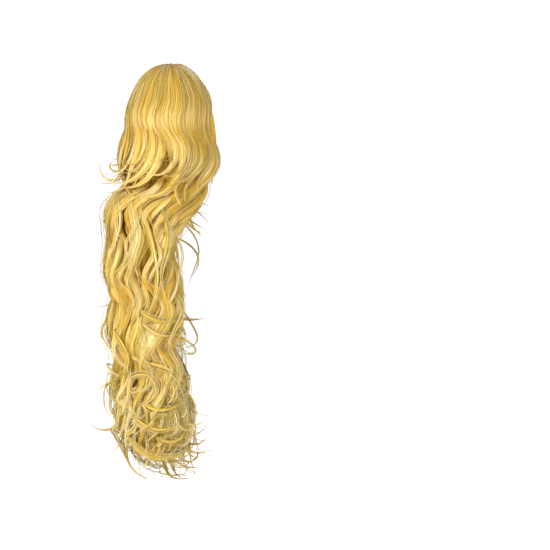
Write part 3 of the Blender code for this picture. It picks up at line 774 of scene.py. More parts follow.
def lock_bodies(name, guides, rng, flatness, fill=1.0, edge_shade=0.25):
    """One mesh of closed flattened locks, each with faint ridges along it, with a UV map across and along it.

    fill is the share of each lock's width that its body takes up, where its strands show beside it.
    edge_shade is how much painted shade darkens the lock's two edges, where the next locks would shade it.
    """
    places, faces, uvs, tints, depths = [], [], [], [], []
    for guide in guides:
        first = len(places)
        count = len(guide.points)
        sides = guide.sides
        ridges = rng.uniform(-1, 1, sides)
        pace = rng.uniform(2, 9, sides)
        for k in range(count):
            for side in range(sides):
                angle = math.tau * side / sides
                ribbed = 1 + RIB_DEPTH * math.sin(3.1 * ridges[side] + pace[side] * guide.along[k])
                across = math.cos(angle) * guide.half[k] * ribbed * fill
                through = math.sin(angle) * guide.half[k] * flatness * ribbed * fill
                places.append(guide.points[k] + guide.across[k] * across + guide.through[k] * through)
        length = run_of(guide.points)
        for k in range(count - 1):
            for side in range(sides):
                near = first + k * sides
                far = near + sides
                beside = (side + 1) % sides
                faces.append((near + side, near + beside, far + beside, far + side))
                left, right = side / LOCK_SIDES, (side + 1) / LOCK_SIDES
                uvs += [(left, length[k]), (right, length[k]), (right, length[k + 1]), (left, length[k + 1])]
        for ring, place, run in ((0, guide.points[0], 0.0), (count - 1, guide.points[-1], length[-1])):
            pole = len(places)
            places.append(place)
            corner = first + ring * sides
            for side in range(sides):
                beside = (side + 1) % sides
                pair = (corner + side, corner + beside) if ring else (corner + beside, corner + side)
                faces.append((*pair, pole))
                uvs += [(side / LOCK_SIDES, run)] * 3
        tints += [BODY_TINT[0] + BODY_TINT[1] * guide.tone] * (len(places) - first)
        # painted shade along the lock's two edges, on top of the guide's own painted shade
        painted_edge_shade = edge_shade * np.cos(np.arange(sides) * math.tau / sides) ** 6
        depths += list((guide.depth[:, None] + (1 - guide.depth[:, None]) * painted_edge_shade).ravel())
        depths += [guide.depth[0], guide.depth[-1]]
    mesh = bpy.data.meshes.new(name)
    mesh.from_pydata(places, [], faces)
    layer = mesh.uv_layers.new(name="UVMap")
    layer.data.foreach_set("uv", np.array(uvs, np.float32).ravel())
    add_values(mesh, "tint", tints)
    add_values(mesh, "depth", depths)
    turn_outwards(mesh)
    mesh.shade_smooth()
    return linked(name, mesh)


def add_values(mesh, name, values):
    mesh.attributes.new(name, "FLOAT", "POINT").data.foreach_set("value", np.array(values, np.float32))


def add_vectors(mesh, name, values):
    mesh.attributes.new(name, "FLOAT_VECTOR", "POINT").data.foreach_set(
        "vector", np.array(values, np.float32).ravel()
    )


def guide_mesh(name, guides):
    """The guides as bare edges, with what the strand tree reads at each point."""

    def joined(value_of):
        return np.concatenate([value_of(guide) for guide in guides])

    points = joined(lambda guide: guide.points)
    edges = []
    first = 0
    for guide in guides:
        edges += [(first + k, first + k + 1) for k in range(len(guide.points) - 1)]
        first += len(guide.points)
    mesh = bpy.data.meshes.new(name)
    mesh.from_pydata(points.tolist(), edges, [])
    add_vectors(mesh, "across", joined(lambda guide: guide.across * guide.half[:, None]))
    add_vectors(mesh, "through", joined(lambda guide: guide.through * guide.half[:, None]))
    add_values(mesh, "along", joined(lambda guide: guide.along))
    add_values(mesh, "run", joined(lambda guide: run_of(guide.points)))
    add_values(mesh, "tone", joined(lambda guide: np.full(len(guide.points), guide.tone)))
    # the painted shade, which the strands carry to their material
    add_values(mesh, "depth", joined(lambda guide: guide.depth))
    return linked(name, mesh)


class Nodes:
    """A short way to build nodes: each call adds one, and most give back its first used output."""

    def __init__(self, tree):
        self.tree = tree

    def node(self, kind, settings=None, **inputs):
        """Adds a node. An input goes by its name, with _ for a space, or by its identifier."""
        made = self.tree.nodes.new(kind)
        for name, value in (settings or {}).items():
            setattr(made, name, value)
        for name, value in inputs.items():
            label = name.replace("_", " ")
            slots = [s for s in made.inputs if s.enabled and (s.name == label or s.identifier == name)]
            self.feed(slots[0], value)
        return made

    def feed(self, slot, value):
        """Links an output to this input, or sets the input's own value."""
        if isinstance(value, bpy.types.NodeSocket):
            self.tree.links.new(value, slot)
        else:
            slot.default_value = value

    def math(self, operation, *values):
        made = self.node("ShaderNodeMath", {"operation": operation})
        for slot, value in zip(made.inputs, values):
            self.feed(slot, value)
        return made.outputs[0]


class StrandNodes(Nodes):
    """What the strand tree uses besides: vectors, random values and named attributes."""

    def scaled(self, vector, scale):
        made = self.node("ShaderNodeVectorMath", {"operation": "SCALE"}, Vector=vector, Scale=scale)
        return made.outputs[0]

    def added(self, first, second):
        made = self.node("ShaderNodeVectorMath", {"operation": "ADD"})
        self.feed(made.inputs[0], first)
        self.feed(made.inputs[1], second)
        return made.outputs[0]

    def named(self, name, kind):
        made = self.node("GeometryNodeInputNamedAttribute", {"data_type": kind}, Name=name)
        return next(s for s in made.outputs if s.enabled and s.name == "Attribute")

    def random(self, seed, offset, low=-1.0, high=1.0):
        made = self.node("FunctionNodeRandomValue", {"data_type": "FLOAT"})
        ranged = [s for s in made.inputs if s.enabled]
        ranged[0].default_value = low
        ranged[1].default_value = high
        self.feed(ranged[-1], self.math("ADD", seed, offset))
        return next(s for s in made.outputs if s.enabled)

    def stored(self, geometry, name, kind, domain, value):
        wanted = {"data_type": kind, "domain": domain}
        made = self.node("GeometryNodeStoreNamedAttribute", wanted, Name=name, Geometry=geometry)
        self.feed(next(s for s in made.inputs if s.enabled and s.name == "Value"), value)
        return made.outputs[0]


STRAND_SOCKETS = (
    ("Strands per lock", "NodeSocketInt"),
    ("Strand radius", "NodeSocketFloat"),
    ("Spread", "NodeSocketFloat"),
    ("Flatness", "NodeSocketFloat"),
    ("Wrap", "NodeSocketFloat"),
    ("Frizz", "NodeSocketFloat"),
    ("Mottle", "NodeSocketFloat"),
    ("Seed", "NodeSocketInt"),
    ("Hair", "NodeSocketMaterial"),
)


def strand_offset(made, given):
    """How far each point of a strand is moved from its guide: round the lock, and a waver of its own."""
    along, run = made.named("along", "FLOAT"), made.named("run", "FLOAT")
    stray = made.math("POWER", made.math("ABSOLUTE", made.named("stray", "FLOAT")), STRAY_POWER)
    further = made.math("ADD", 1.0, made.math("MULTIPLY", stray, STRAY_REACH))
    reach = made.math("MULTIPLY", given["Spread"], further)
    place = made.math("MULTIPLY_ADD", made.named("place_a", "FLOAT"), given["Wrap"], 1.57)
    twist = made.math("MULTIPLY", made.named("place_b", "FLOAT"), along)
    place = made.math("MULTIPLY_ADD", twist, TWIST, place)
    lock_across = made.named("across", "FLOAT_VECTOR")
    across = made.scaled(lock_across, made.math("MULTIPLY", made.math("COSINE", place), reach))
    deep = made.math("MULTIPLY", made.math("SINE", place), reach)
    flat = made.math("MULTIPLY", deep, given["Flatness"])
    through = made.scaled(made.named("through", "FLOAT_VECTOR"), flat)
    pace = made.math("MULTIPLY_ADD", made.named("pace", "FLOAT"), WAVER_PACE[1], WAVER_PACE[0])
    shift = made.math("MULTIPLY", made.named("place_a", "FLOAT"), WAVER_SHIFT)
    angle = made.math("MULTIPLY_ADD", run, pace, shift)
    grown = made.math("MINIMUM", made.math("MULTIPLY", run, WAVER_GROWTH), 1.0)
    waver = made.math("MULTIPLY", made.math("SINE", angle), given["Frizz"])
    frizz = made.scaled(lock_across, made.math("MULTIPLY", waver, grown))
    return made.added(made.added(across, through), frizz)


def strand_tree():
    """Guides in, strands out: each lock's strands spread round its guide, waver a little and taper."""
    tree = bpy.data.node_groups.new("hair_strands", "GeometryNodeTree")
    made = StrandNodes(tree)
    tree.interface.new_socket("Geometry", in_out="INPUT", socket_type="NodeSocketGeometry")
    for name, kind in STRAND_SOCKETS:
        tree.interface.new_socket(name, in_out="INPUT", socket_type=kind)
    tree.interface.new_socket("Geometry", in_out="OUTPUT", socket_type="NodeSocketGeometry")
    given = made.node("NodeGroupInput").outputs
    seed, count = given["Seed"], given["Strands per lock"]
    curve = made.node("GeometryNodeMeshToCurve", Mesh=given["Geometry"]).outputs[0]
    per_spline = {"domain": "SPLINE"}
    geometry = made.node("GeometryNodeDuplicateElements", per_spline, Geometry=curve, Amount=count).outputs[0]
    for offset, name in enumerate(("place_a", "place_b", "stray", "pace")):
        geometry = made.stored(geometry, name, "FLOAT", "CURVE", made.random(seed, float(offset + 1)))
    mottle = made.math("MULTIPLY_ADD", made.random(seed, 9.0, -0.5, 0.5), given["Mottle"], STRAND_TINT[0])
    tint = made.math("MULTIPLY_ADD", made.named("tone", "FLOAT"), STRAND_TINT[1], mottle)
    geometry = made.stored(geometry, "tint", "FLOAT", "CURVE", tint)
    offset = strand_offset(made, given)
    moved = made.node("GeometryNodeSetPosition", Geometry=geometry, Offset=offset).outputs[0]
    shortened = made.math("MULTIPLY", made.math("ABSOLUTE", made.named("pace", "FLOAT")), TIP_TRIM)
    end = made.math("SUBTRACT", 1.0, shortened)
    trimmed = made.node("GeometryNodeTrimCurve", {"mode": "FACTOR"}, Curve=moved, End=end).outputs[0]
    thinned = made.math("MULTIPLY", made.math("POWER", made.named("along", "FLOAT"), 3.0), TIP_THINNING)
    radius = made.math("MULTIPLY", given["Strand radius"], made.math("SUBTRACT", 1.0, thinned))
    sized = made.node("GeometryNodeSetCurveRadius", Curve=trimmed, Radius=radius).outputs[0]
    ring = made.node("GeometryNodeCurvePrimitiveCircle", Resolution=3, Radius=1.0).outputs[0]
    width = made.node("GeometryNodeInputRadius").outputs[0]
    tube = {"Profile_Curve": ring, "Scale": width, "Fill_Caps": True}
    tubes = made.node("GeometryNodeCurveToMesh", Curve=sized, **tube).outputs[0]
    smooth = made.node("GeometryNodeSetShadeSmooth", Geometry=tubes, Shade_Smooth=True).outputs[0]
    for name in ("place_a", "place_b", "stray", "pace", "across", "through", "tone", "run"):
        smooth = made.node("GeometryNodeRemoveAttribute", Geometry=smooth, Name=name).outputs[0]
    realized = made.node("GeometryNodeRealizeInstances", Geometry=smooth).outputs[0]
    dressed = made.node("GeometryNodeSetMaterial", Geometry=realized, Material=given["Hair"]).outputs[0]
    made.node("NodeGroupOutput", Geometry=dressed)
    return tree


def grown_strands(name, guides, strands, sizes, finish, seed, radius, wrap=FLAT_WRAP, mottle=0.6):
    """Strands along these guides, as one plain mesh. wrap is how far round each lock they lie, in radians."""
    guide = guide_mesh(name + "_guides", guides)
    grower = guide.modifiers.new("strands", "NODES")
    grower.node_group = bpy.data.node_groups.get("hair_strands") or strand_tree()
    values = (strands, radius, sizes.spread, sizes.flatness, wrap, sizes.frizz, mottle, seed, finish)
    places = {s.name: s.identifier for s in grower.node_group.interface.items_tree if s.in_out == "INPUT"}
    for (socket, _), value in zip(STRAND_SOCKETS, values):
        grower[places[socket]] = value
    mesh = applied_mesh(guide)
    mesh.name = name
    bpy.data.objects.remove(guide)
    return linked(name, mesh)


def with_painted_shade(piece):
    """Keeps the piece near the solid model's box, and sets the painted shade of each of its points as its
    depth.

    The painted shade grows with how far a point lies within the hair's outer surface, and is eased at the
    foot.
    """
    mesh = piece.data
    places = np.empty(len(mesh.vertices) * 3, np.float32)
    mesh.vertices.foreach_get("co", places)
    places = kept_near(places.reshape(-1, 3), HAIR_MARGIN)
    mesh.vertices.foreach_set("co", places.astype(np.float32).ravel())
    mesh.update()
    across, back, drop = places[:, 0], places[:, 1], -places[:, 2]
    wide, deep, middle = tail_sizes(np.maximum(drop, FREE_DROP))
    bundle = 1 - ease(0.72, 1.0, np.hypot(across / wide, (back - middle) / deep))
    front = np.where(back > CROWN_SETBACK, CROWN_BACK, CROWN_FRONT)
    rise = np.maximum(SHOULDER_DROP - drop, 0) / (SHOULDER_DROP + CREST_HEIGHT)
    reach = np.sqrt((across / CROWN_HALF_WIDTH) ** 2 + ((back - CROWN_SETBACK) / front) ** 2 + rise**2)
    dome = 1 - ease(0.88, 0.965, reach)
    low = ease(0.10, 0.16, drop)
    depths = np.empty(len(mesh.vertices), np.float32)
    mesh.attributes["depth"].data.foreach_get("value", depths)
    # painted shade where the point lies within the bundle or the dome
    depths = np.maximum(depths, 0.85 * (bundle * low + dome * (1 - low)))
    # less painted shade towards the foot
    depths *= 1 - 0.75 * ease(*LIT_FOOT, drop)
    mesh.attributes["depth"].data.foreach_set("value", depths.astype(np.float32))
    return piece


class Shader(Nodes):
    """A material, and a short way to build the nodes of its surface."""

    def __init__(self, name):
        self.material = bpy.data.materials.new(name)
        self.material.use_nodes = True
        super().__init__(self.material.node_tree)

    def mixed(self, share, first, second):
        made = self.node("ShaderNodeMix", {"data_type": "RGBA"})
        colours = [s for s in made.inputs if s.type == "RGBA"]
        self.feed(made.inputs[0], share)
        self.feed(colours[0], first)
        self.feed(colours[1], second)
        return next(s for s in made.outputs if s.type == "RGBA")

    def attribute(self, name):
        return self.node("ShaderNodeAttribute", {"attribute_name": name}).outputs["Fac"]

    def place(self):
        return self.node("ShaderNodeTexCoord").outputs["Object"]

    def mapped(self, place, **inputs):
        return self.node("ShaderNodeMapping", Vector=place, **inputs).outputs[0]

    def noise(self, place, scale, detail, roughness=0.5):
        wanted = {"Scale": scale, "Detail": detail, "Roughness": roughness}
        return self.node("ShaderNodeTexNoise", Vector=place, **wanted).outputs["Fac"]

    def stretched(self, value, gain, offset, low, high):
        """The value times gain, less offset, kept between low and high."""
        value = self.math("SUBTRACT", self.math("MULTIPLY", value, gain), offset)
        return self.math("MINIMUM", self.math("MAXIMUM", value, low), high)

    def bumped(self, height, strength, distance, **inputs):
        raised = {"Strength": strength, "Distance": distance, "Height": height}
        return self.node("ShaderNodeBump", **raised, **inputs).outputs[0]

    def dressed(self, **inputs):
        """Feeds these inputs of the surface, and gives back the material."""
        surface = self.tree.nodes["Principled BSDF"]
        for name, value in inputs.items():
            self.feed(surface.inputs[name.replace("_", " ")], value)
        return self.material


def opaque(colour, gain=1.0):
    return (*(min(1, gain * part) for part in colour), 1)


def laid_normal(made, share):
    """The surface's normal, turned this share of the way towards the outside of the hair as a whole."""
    split = made.node("ShaderNodeSeparateXYZ", Vector=made.place()).outputs
    back = made.math("SUBTRACT", split[1], 0.070)
    rise = made.math("MULTIPLY", made.math("MAXIMUM", made.math("ADD", split[2], 0.05), 0.0), 0.8)
    outward = made.node("ShaderNodeCombineXYZ", X=split[0], Y=back, Z=rise).outputs[0]
    outward = made.node("ShaderNodeVectorMath", {"operation": "NORMALIZE"}, Vector=outward).outputs[0]
    turned = made.node("ShaderNodeMix", {"data_type": "VECTOR"})
    vectors = [slot for slot in turned.inputs if slot.type == "VECTOR" and slot.name in "AB"]
    made.feed(turned.inputs[0], share)
    made.feed(vectors[0], made.node("ShaderNodeNewGeometry").outputs["Normal"])
    made.feed(vectors[1], outward)
    laid = next(slot for slot in turned.outputs if slot.type == "VECTOR")
    return made.node("ShaderNodeVectorMath", {"operation": "NORMALIZE"}, Vector=laid).outputs[0]


def hair_surface(name, colours, fibres):
    """Golden hair, paler on some strands, with painted shade deeper in and pale streaks on the lock bodies
    that are partly painted sheen. Fibres follow the lock's UV map.
    """
    made = Shader(name)
    pale, gold, honey, shade = (opaque(c) for c in (colours.pale, colours.gold, colours.honey, colours.shade))
    depth = made.attribute("depth")
    ramp = made.node("ShaderNodeValToRGB", Fac=made.attribute("tint"))
    stops = ramp.color_ramp.elements
    stops[0].position, stops[0].color = 0.04, shade
    stops[1].position, stops[1].color = 0.95, pale
    for position, tone in ((0.22, honey), (0.46, gold)):
        stops.new(position).color = tone
    broad = made.noise(made.place(), 14.0, 2.0)
    colour = made.mixed(made.math("MULTIPLY", broad, 0.35), ramp.outputs["Color"], honey)
    # painted shade where the hair lies deep
    colour = made.mixed(depth, colour, shade)
    normal = laid_normal(made, 0.4 if fibres else 0.5)
    if fibres:
        across = made.node("ShaderNodeUVMap", {"uv_map": "UVMap"}).outputs[0]
        grain = made.noise(made.mapped(across, Scale=(20.0, 16.0, 1.0)), 1.0, 4.0, 0.7)
        colour = made.mixed(made.stretched(grain, 7.0, 2.65, 0.06, 1.0), shade, colour)
        # pale fibre streaks, partly strand tone and partly painted sheen, left out where the painted shade
        # lies
        beside = made.mapped(across, Location=(7.3, 2.1, 0.0), Scale=(17.0, 11.0, 1.0))
        pale_streak_and_sheen = made.stretched(made.noise(beside, 1.0, 3.0), 5.0, 2.65, 0.0, 0.75)
        pale_streak_and_sheen = made.math("MULTIPLY", pale_streak_and_sheen, made.math("SUBTRACT", 1.0, depth))
        colour = made.mixed(pale_streak_and_sheen, colour, pale)
        normal = made.bumped(grain, 0.7, 0.0015, Normal=normal)
    return made.dressed(Base_Color=colour, Normal=normal, Roughness=0.34, Specular_IOR_Level=0.17)


def under_surface(colours):
    """The hair below the outer locks, with fibres that run downwards, streaked between painted shade and
    gold.
    """
    made = Shader("hair_underlayer")
    grain = made.noise(made.mapped(made.place(), Scale=(420.0, 420.0, 16.0)), 1.0, 3.0, 0.6)
    streak = made.stretched(grain, 5.0, 2.0, 0.0, 1.0)
    # fibre streaks between painted shade and gold
    colour = made.mixed(streak, opaque(colours.shade), opaque(colours.gold))
    normal = made.bumped(grain, 0.8, 0.0012)
    return made.dressed(Base_Color=colour, Normal=normal, Roughness=0.5, Specular_IOR_Level=0.05)


def woven_surface(colours):
    """The cap's net: two sets of fine crossing threads."""
    made = Shader("cap_net")
    turned = made.mapped(made.place(), Rotation=(SEAT_SLOPE, 0.0, 0.7))
    thread = {"Vector": turned, "Scale": 62.0, "Distortion": 0.4}
    sets = [made.node("ShaderNodeTexWave", {"bands_direction": way}, **thread).outputs["Fac"] for way in "XY"]
    weave = made.math("MAXIMUM", *sets)
    colour = made.mixed(weave, opaque(colours.cap, 0.45), opaque(colours.cap))
    return made.dressed(Base_Color=colour, Normal=made.bumped(weave, 0.6, 0.0006), Roughness=0.82)


def comb_surface(colours):
    """Moulded plastic with a faint mottle and handling marks in its gloss."""
    made = Shader("comb_plastic")
    mottle = made.noise(made.place(), 160.0, 3.0)
    colour = made.mixed(mottle, opaque(colours.comb), opaque(colours.comb, 1.6))
    return made.dressed(Base_Color=colour, Roughness=made.math("MULTIPLY_ADD", mottle, 0.2, 0.22))


def closed_rings(name, rings):
    """A closed shell through rings of points, with each end drawn to a point."""
    count = len(rings[0])
    places = [tuple(place) for ring in rings for place in ring]
    faces = []
    for row in range(len(rings) - 1):
        for column in range(count):
            beside = (column + 1) % count
            near, far = row * count, (row + 1) * count
            faces.append((near + column, near + beside, far + beside, far + column))
    for first in (0, len(places) - count):
        pole = len(places)
        places.append(tuple(np.mean(places[first : first + count], axis=0)))
        faces += [(first + column, first + (column + 1) % count, pole) for column in range(count)]
    mesh = bpy.data.meshes.new(name)
    mesh.from_pydata(places, [], faces)
    turn_outwards(mesh, triangles=True)
    return linked(name, mesh)


def rounded_cutter(name, half_sizes, place):
    """An egg shape to cut with."""
    mesh = bpy.data.meshes.new(name)
    shaped = bmesh.new()
    bmesh.ops.create_uvsphere(shaped, u_segments=40, v_segments=24, radius=1)
    shift = Matrix.Translation(place) @ Matrix.Diagonal((*half_sizes, 1))
    bmesh.ops.transform(shaped, matrix=shift, verts=shaped.verts)
    shaped.to_mesh(mesh)
    shaped.free()
    return linked(name, mesh)


def cut_away(piece, cutters):
    """The piece without what lies in the cutters, which are used up."""
    for cutter in cutters:
        step = piece.modifiers.new(cutter.name, "BOOLEAN")
        step.operation = "DIFFERENCE"
        step.object = cutter
    mesh = applied_mesh(piece)
    name = piece.name
    for old in (piece, *cutters):
        bpy.data.objects.remove(old)
    mesh.name = name
    mesh.shade_smooth()
    mesh.set_sharp_from_angle(angle=math.radians(50))
    return linked(name, mesh)


def crown_underlayer():
    """The hair that backs the crown's outer locks, hollowed for the head and for the cap."""
    turns = np.linspace(0, math.tau, DOME_COLUMNS, endpoint=False)
    rings = []
    for angle in np.linspace(0.04, math.pi / 2, 20):
        rings.append(dome_points(turns, np.full(DOME_COLUMNS, angle), DOME_INSET)[0])
    hems = np.array([max(crown_hem_drop(turn), SHOULDER_DROP + 0.004) for turn in turns])
    for share in (0.5, 1.0):
        ends = np.maximum(hems - 0.042 + 0.005 * np.sin(11 * turns), SHOULDER_DROP + 0.003)
        drops = SHOULDER_DROP + (ends - SHOULDER_DROP) * share
        outer = (CROWN_HALF_WIDTH, CROWN_FRONT, CROWN_BACK)
        sizes = (np.full(DOME_COLUMNS, size - HANGING_INSET) for size in outer)
        rings.append(oval(turns, *sizes, CROWN_SETBACK, drops)[0])
    dome = closed_rings("crown_underlayer", rings)
    seat = rounded_cutter("seat", [size + HEAD_CLEARANCE for size in SEAT_HALF_SIZES], SEAT_MIDDLE)
    room = rounded_cutter("cap_room", [CAP_RADIUS + CAP_CLEARANCE] * 3, (0, 0, 0))
    return cut_away(dome, (seat, room))


def bundle_underlayer():
    """The middle of the bundle, which the waved locks hide."""
    turns = np.linspace(0, math.tau, BUNDLE_COLUMNS, endpoint=False)
    rings = []
    for drop in np.linspace(*BUNDLE_DROPS, 42):
        inset = 0.018 + 0.012 * ease(0.36, 0.53, drop) - 0.010 * (1 - ease(0.09, 0.15, drop))
        uneven = float(inset) + 0.002 * np.sin(6 * turns + 40 * drop)
        rings.append(tail_points(turns, np.full(BUNDLE_COLUMNS, drop), uneven)[0])
    piece = closed_rings("bundle_underlayer", rings)
    piece.data.shade_smooth()
    return piece


def count_property(name, description, default, least=1):
    return IntProperty(name=name, description=description, default=default, min=least)


def length_property(name, description, default, least=0.0):
    return FloatProperty(name=name, description=description, default=default, min=least, unit="LENGTH")


def share_property(name, description, default):
    return FloatProperty(name=name, description=description, default=default, subtype="FACTOR")


def colour_property(name, description, default):
    wanted = {"subtype": "COLOR", "size": 3, "min": 0, "max": 1, "default": default}
    return FloatVectorProperty(name=name, description=description, **wanted)


class HairpieceSizes(bpy.types.PropertyGroup):
    """Sizes and counts of the dressed hair."""

    crown_locks: count_property("Crown locks", "Outer locks over the crown", 52, 8)
    middle_locks: count_property("Middle locks", "Outer locks of the middle layer", 30, 6)
    long_locks: count_property("Long locks", "Outer locks of the long lengths", 33, 6)
    crown_strands: count_property("Crown strands", "Strands in each crown lock", 13)
    middle_strands: count_property("Middle strands", "Strands in each middle lock", 21)
    long_strands: count_property("Long strands", "Strands in each long lock", 20)
    end_curls: count_property("End curls", "Thin curled locks at the ends", 130, 6)
    drift_locks: count_property("Drift locks", "Thin locks over the bundle", 20)
    drift_strands: count_property("Drift strands", "Strands in each drift lock", 6)
    lining_locks: count_property("Lining locks", "Locks on the hollow side", 32, 4)
    tucked_locks: count_property("Tucked locks", "Locks from the crown to the bundle", 24, 4)
    curl_strands: count_property("Curl strands", "Strands in each end curl", 5)
    loose_strands: count_property("Loose strands", "Strands in each loose lock", 10)
    seed: count_property("Seed", "Fixes how the locks are scattered", 7, 0)
    strand_radius: length_property("Strand radius", "Half the thickness of a strand", 0.00046, 0.00005)
    curl_radius: length_property("Curl strand radius", "The same for an end curl's strand", 0.00040, 0.00005)
    loose_radius: length_property("Loose strand radius", "The same for a loose strand", 0.00032, 0.00005)
    wave_length: length_property("Wave length", "Length of one wave of a lock", 0.098, 0.02)
    wave_swing: length_property("Wave swing", "How far a lock swings sideways", 0.0115)
    crown_wave: length_property("Crown wave", "Length of the crown's broad wave", 0.128, 0.02)
    crown_swing: length_property("Crown swing", "How far the crown's locks swing", 0.0140)
    spread: share_property("Spread", "Reach of the strands as a share of the lock", 1.03)
    flatness: share_property("Flatness", "Thickness of a lock as a share of its width", 0.44)
    frizz: share_property("Frizz", "Waver of single strands as a share of the lock", 0.12)


class HairpieceColours(bpy.types.PropertyGroup):
    """Colours of the hair, the cap and the comb."""

    pale: colour_property("Pale strands", "The lightest strands", (0.98, 0.875, 0.55))
    gold: colour_property("Golden strands", "The main colour of the hair", (0.74, 0.540, 0.115))
    honey: colour_property("Honey strands", "The darker strands", (0.59, 0.385, 0.035))
    shade: colour_property("Shaded hair", "Hair deep inside the locks", (0.50, 0.255, 0.009))
    cap: colour_property("Cap net", "Threads of the cap", (0.55, 0.38, 0.18))
    comb: colour_property("Comb", "Plastic of the comb", (0.20, 0.11, 0.045))
    floor: colour_property("Floor", "The stage's floor", (0.90, 0.90, 0.90))


def settings(context):
    return context.scene.hairpiece_sizes, context.scene.hairpiece_colours


def hair_finish(colours, fibres):
    name = "hair_lock" if fibres else "hair_strand"
    return bpy.data.materials.get(name) or hair_surface(name, colours, fibres)


def dress_layer(layer, guides, strands, parts, context):
    """One layer of hair: its lock bodies, which stand for its solid, and its strands in this many pieces."""
    sizes, colours = settings(context)
    rng = np.random.default_rng(sizes.seed + len(layer))
    # the crown's locks get more painted shade along their edges than the tail's
    if layer == "crown_layer":
        tones, edge_shade, mottle = CROWN_TONES, 0.6, 0.9
    else:
        tones, edge_shade, mottle = TAIL_TONES, 0.3, 0.6
    for guide in guides:
        guide.tone = rng.uniform(*tones)
    bodies = lock_bodies(layer + "_locks", guides, rng, sizes.flatness, 1.0, edge_shade)
    bodies.data.materials.append(hair_finish(colours, True))
    finished(with_painted_shade(bodies), (layer,))
    outer = [guide for guide in guides if guide.ring == 0]
    finish = hair_finish(colours, False)
    for part in range(parts):
        name = f"{layer}_strands_{part + 1}"
        shown = outer[part::parts]
        counts = (strands, sizes, finish, sizes.seed + part, sizes.strand_radius, FLAT_WRAP, mottle)
        finished(with_painted_shade(grown_strands(name, shown, *counts)))


class HAIRPIECE_OT_fittings(bpy.types.Operator):
    """Give the cap its woven net and the comb its moulded plastic"""

    bl_idname = "hairpiece.fittings"
    bl_label = "Finish cap and comb"

    def execute(self, context):
        _, colours = settings(context)
        for node, surface in (("base_cap", woven_surface(colours)), ("comb", comb_surface(colours))):
            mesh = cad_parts[node].data
            mesh.materials.clear()
            mesh.materials.append(surface)
        return {"FINISHED"}


class HAIRPIECE_OT_underlayer(bpy.types.Operator):
    """Back the locks with the hair beneath them"""

    bl_idname = "hairpiece.underlayer"
    bl_label = "Make underlayer"

    def execute(self, context):
        sizes, colours = settings(context)
        surface = under_surface(colours)
        for piece in (crown_underlayer(), bundle_underlayer()):
            piece.data.materials.clear()
            piece.data.materials.append(surface)
            finished(piece)
        guides = lining_guides(sizes)
        lining = lock_bodies("lining_locks", guides, np.random.default_rng(sizes.seed + 7), sizes.flatness)
        lining.data.materials.append(hair_finish(colours, True))
        finished(lining)
        finish = hair_finish(colours, False)
        counts = (LINING_STRANDS, sizes, finish, sizes.seed + 7, sizes.strand_radius, ROUND_WRAP)
        finished(grown_strands("lining_strands", guides, *counts))
        return {"FINISHED"}


class HAIRPIECE_OT_crown(bpy.types.Operator):
    """Grow the crown's locks and strands over the dome"""

    bl_idname = "hairpiece.crown"
    bl_label = "Grow crown layer"

    def execute(self, context):
        sizes, _ = settings(context)
        dress_layer("crown_layer", crown_guides(sizes), sizes.crown_strands, 1, context)
        return {"FINISHED"}


class HAIRPIECE_OT_middle(bpy.types.Operator):
    """Grow the middle layer of waved locks"""

    bl_idname = "hairpiece.middle"
    bl_label = "Grow middle layer"

    def execute(self, context):
        sizes, _ = settings(context)
        dress_layer("middle_layer", middle_guides(sizes), sizes.middle_strands, 2, context)
        return {"FINISHED"}


class HAIRPIECE_OT_long(bpy.types.Operator):
    """Grow the long curled lengths"""

    bl_idname = "hairpiece.long"
    bl_label = "Grow long lengths"

    def execute(self, context):
        sizes, _ = settings(context)
        dress_layer("long_lengths", long_guides(sizes), sizes.long_strands, 2, context)
        return {"FINISHED"}


class HAIRPIECE_OT_curls(bpy.types.Operator):
    """Add the thin curled locks of the ends and the thin locks that wander over the bundle"""

    bl_idname = "hairpiece.curls"
    bl_label = "Add end curls"

    def execute(self, context):
        sizes, colours = settings(context)
        finish = hair_finish(colours, False)
        rng = np.random.default_rng(sizes.seed + 6)
        guides = curl_guides(sizes)
        for guide in guides:
            guide.tone = rng.uniform(*CURL_TONES)
        bodies = lock_bodies("end_curls", guides, rng, 0.7, 0.24, 0.0)
        bodies.data.materials.append(hair_finish(colours, True))
        finished(with_painted_shade(bodies))
        counts = (sizes.curl_strands, sizes, finish, sizes.seed + 8, sizes.curl_radius, ROUND_WRAP, 0.35)
        finished(with_painted_shade(grown_strands("end_curls_strands", guides, *counts)))
        counts = (sizes.drift_strands, sizes, finish, sizes.seed + 11, sizes.curl_radius, ROUND_WRAP, 0.4)
        finished(grown_strands("drift_locks", drift_guides(sizes), *counts))
        return {"FINISHED"}


class HAIRPIECE_OT_loose(bpy.types.Operator):
    """Add the loose locks and ring curls that stand clear of the bundle"""

    bl_idname = "hairpiece.loose"
    bl_label = "Add loose locks"

    def execute(self, context):
        sizes, colours = settings(context)
        finish = hair_finish(colours, False)
        guides = loose_guides(sizes)
        bodies = lock_bodies("loose_locks", guides, np.random.default_rng(sizes.seed + 9), 0.5, 0.35)
        bodies.data.materials.append(hair_finish(colours, True))
        finished(bodies)
        counts = (sizes.loose_strands, sizes, finish, sizes.seed + 9, sizes.loose_radius, ROUND_WRAP)
        finished(grown_strands("loose_locks_strands", guides, *counts))
        return {"FINISHED"}


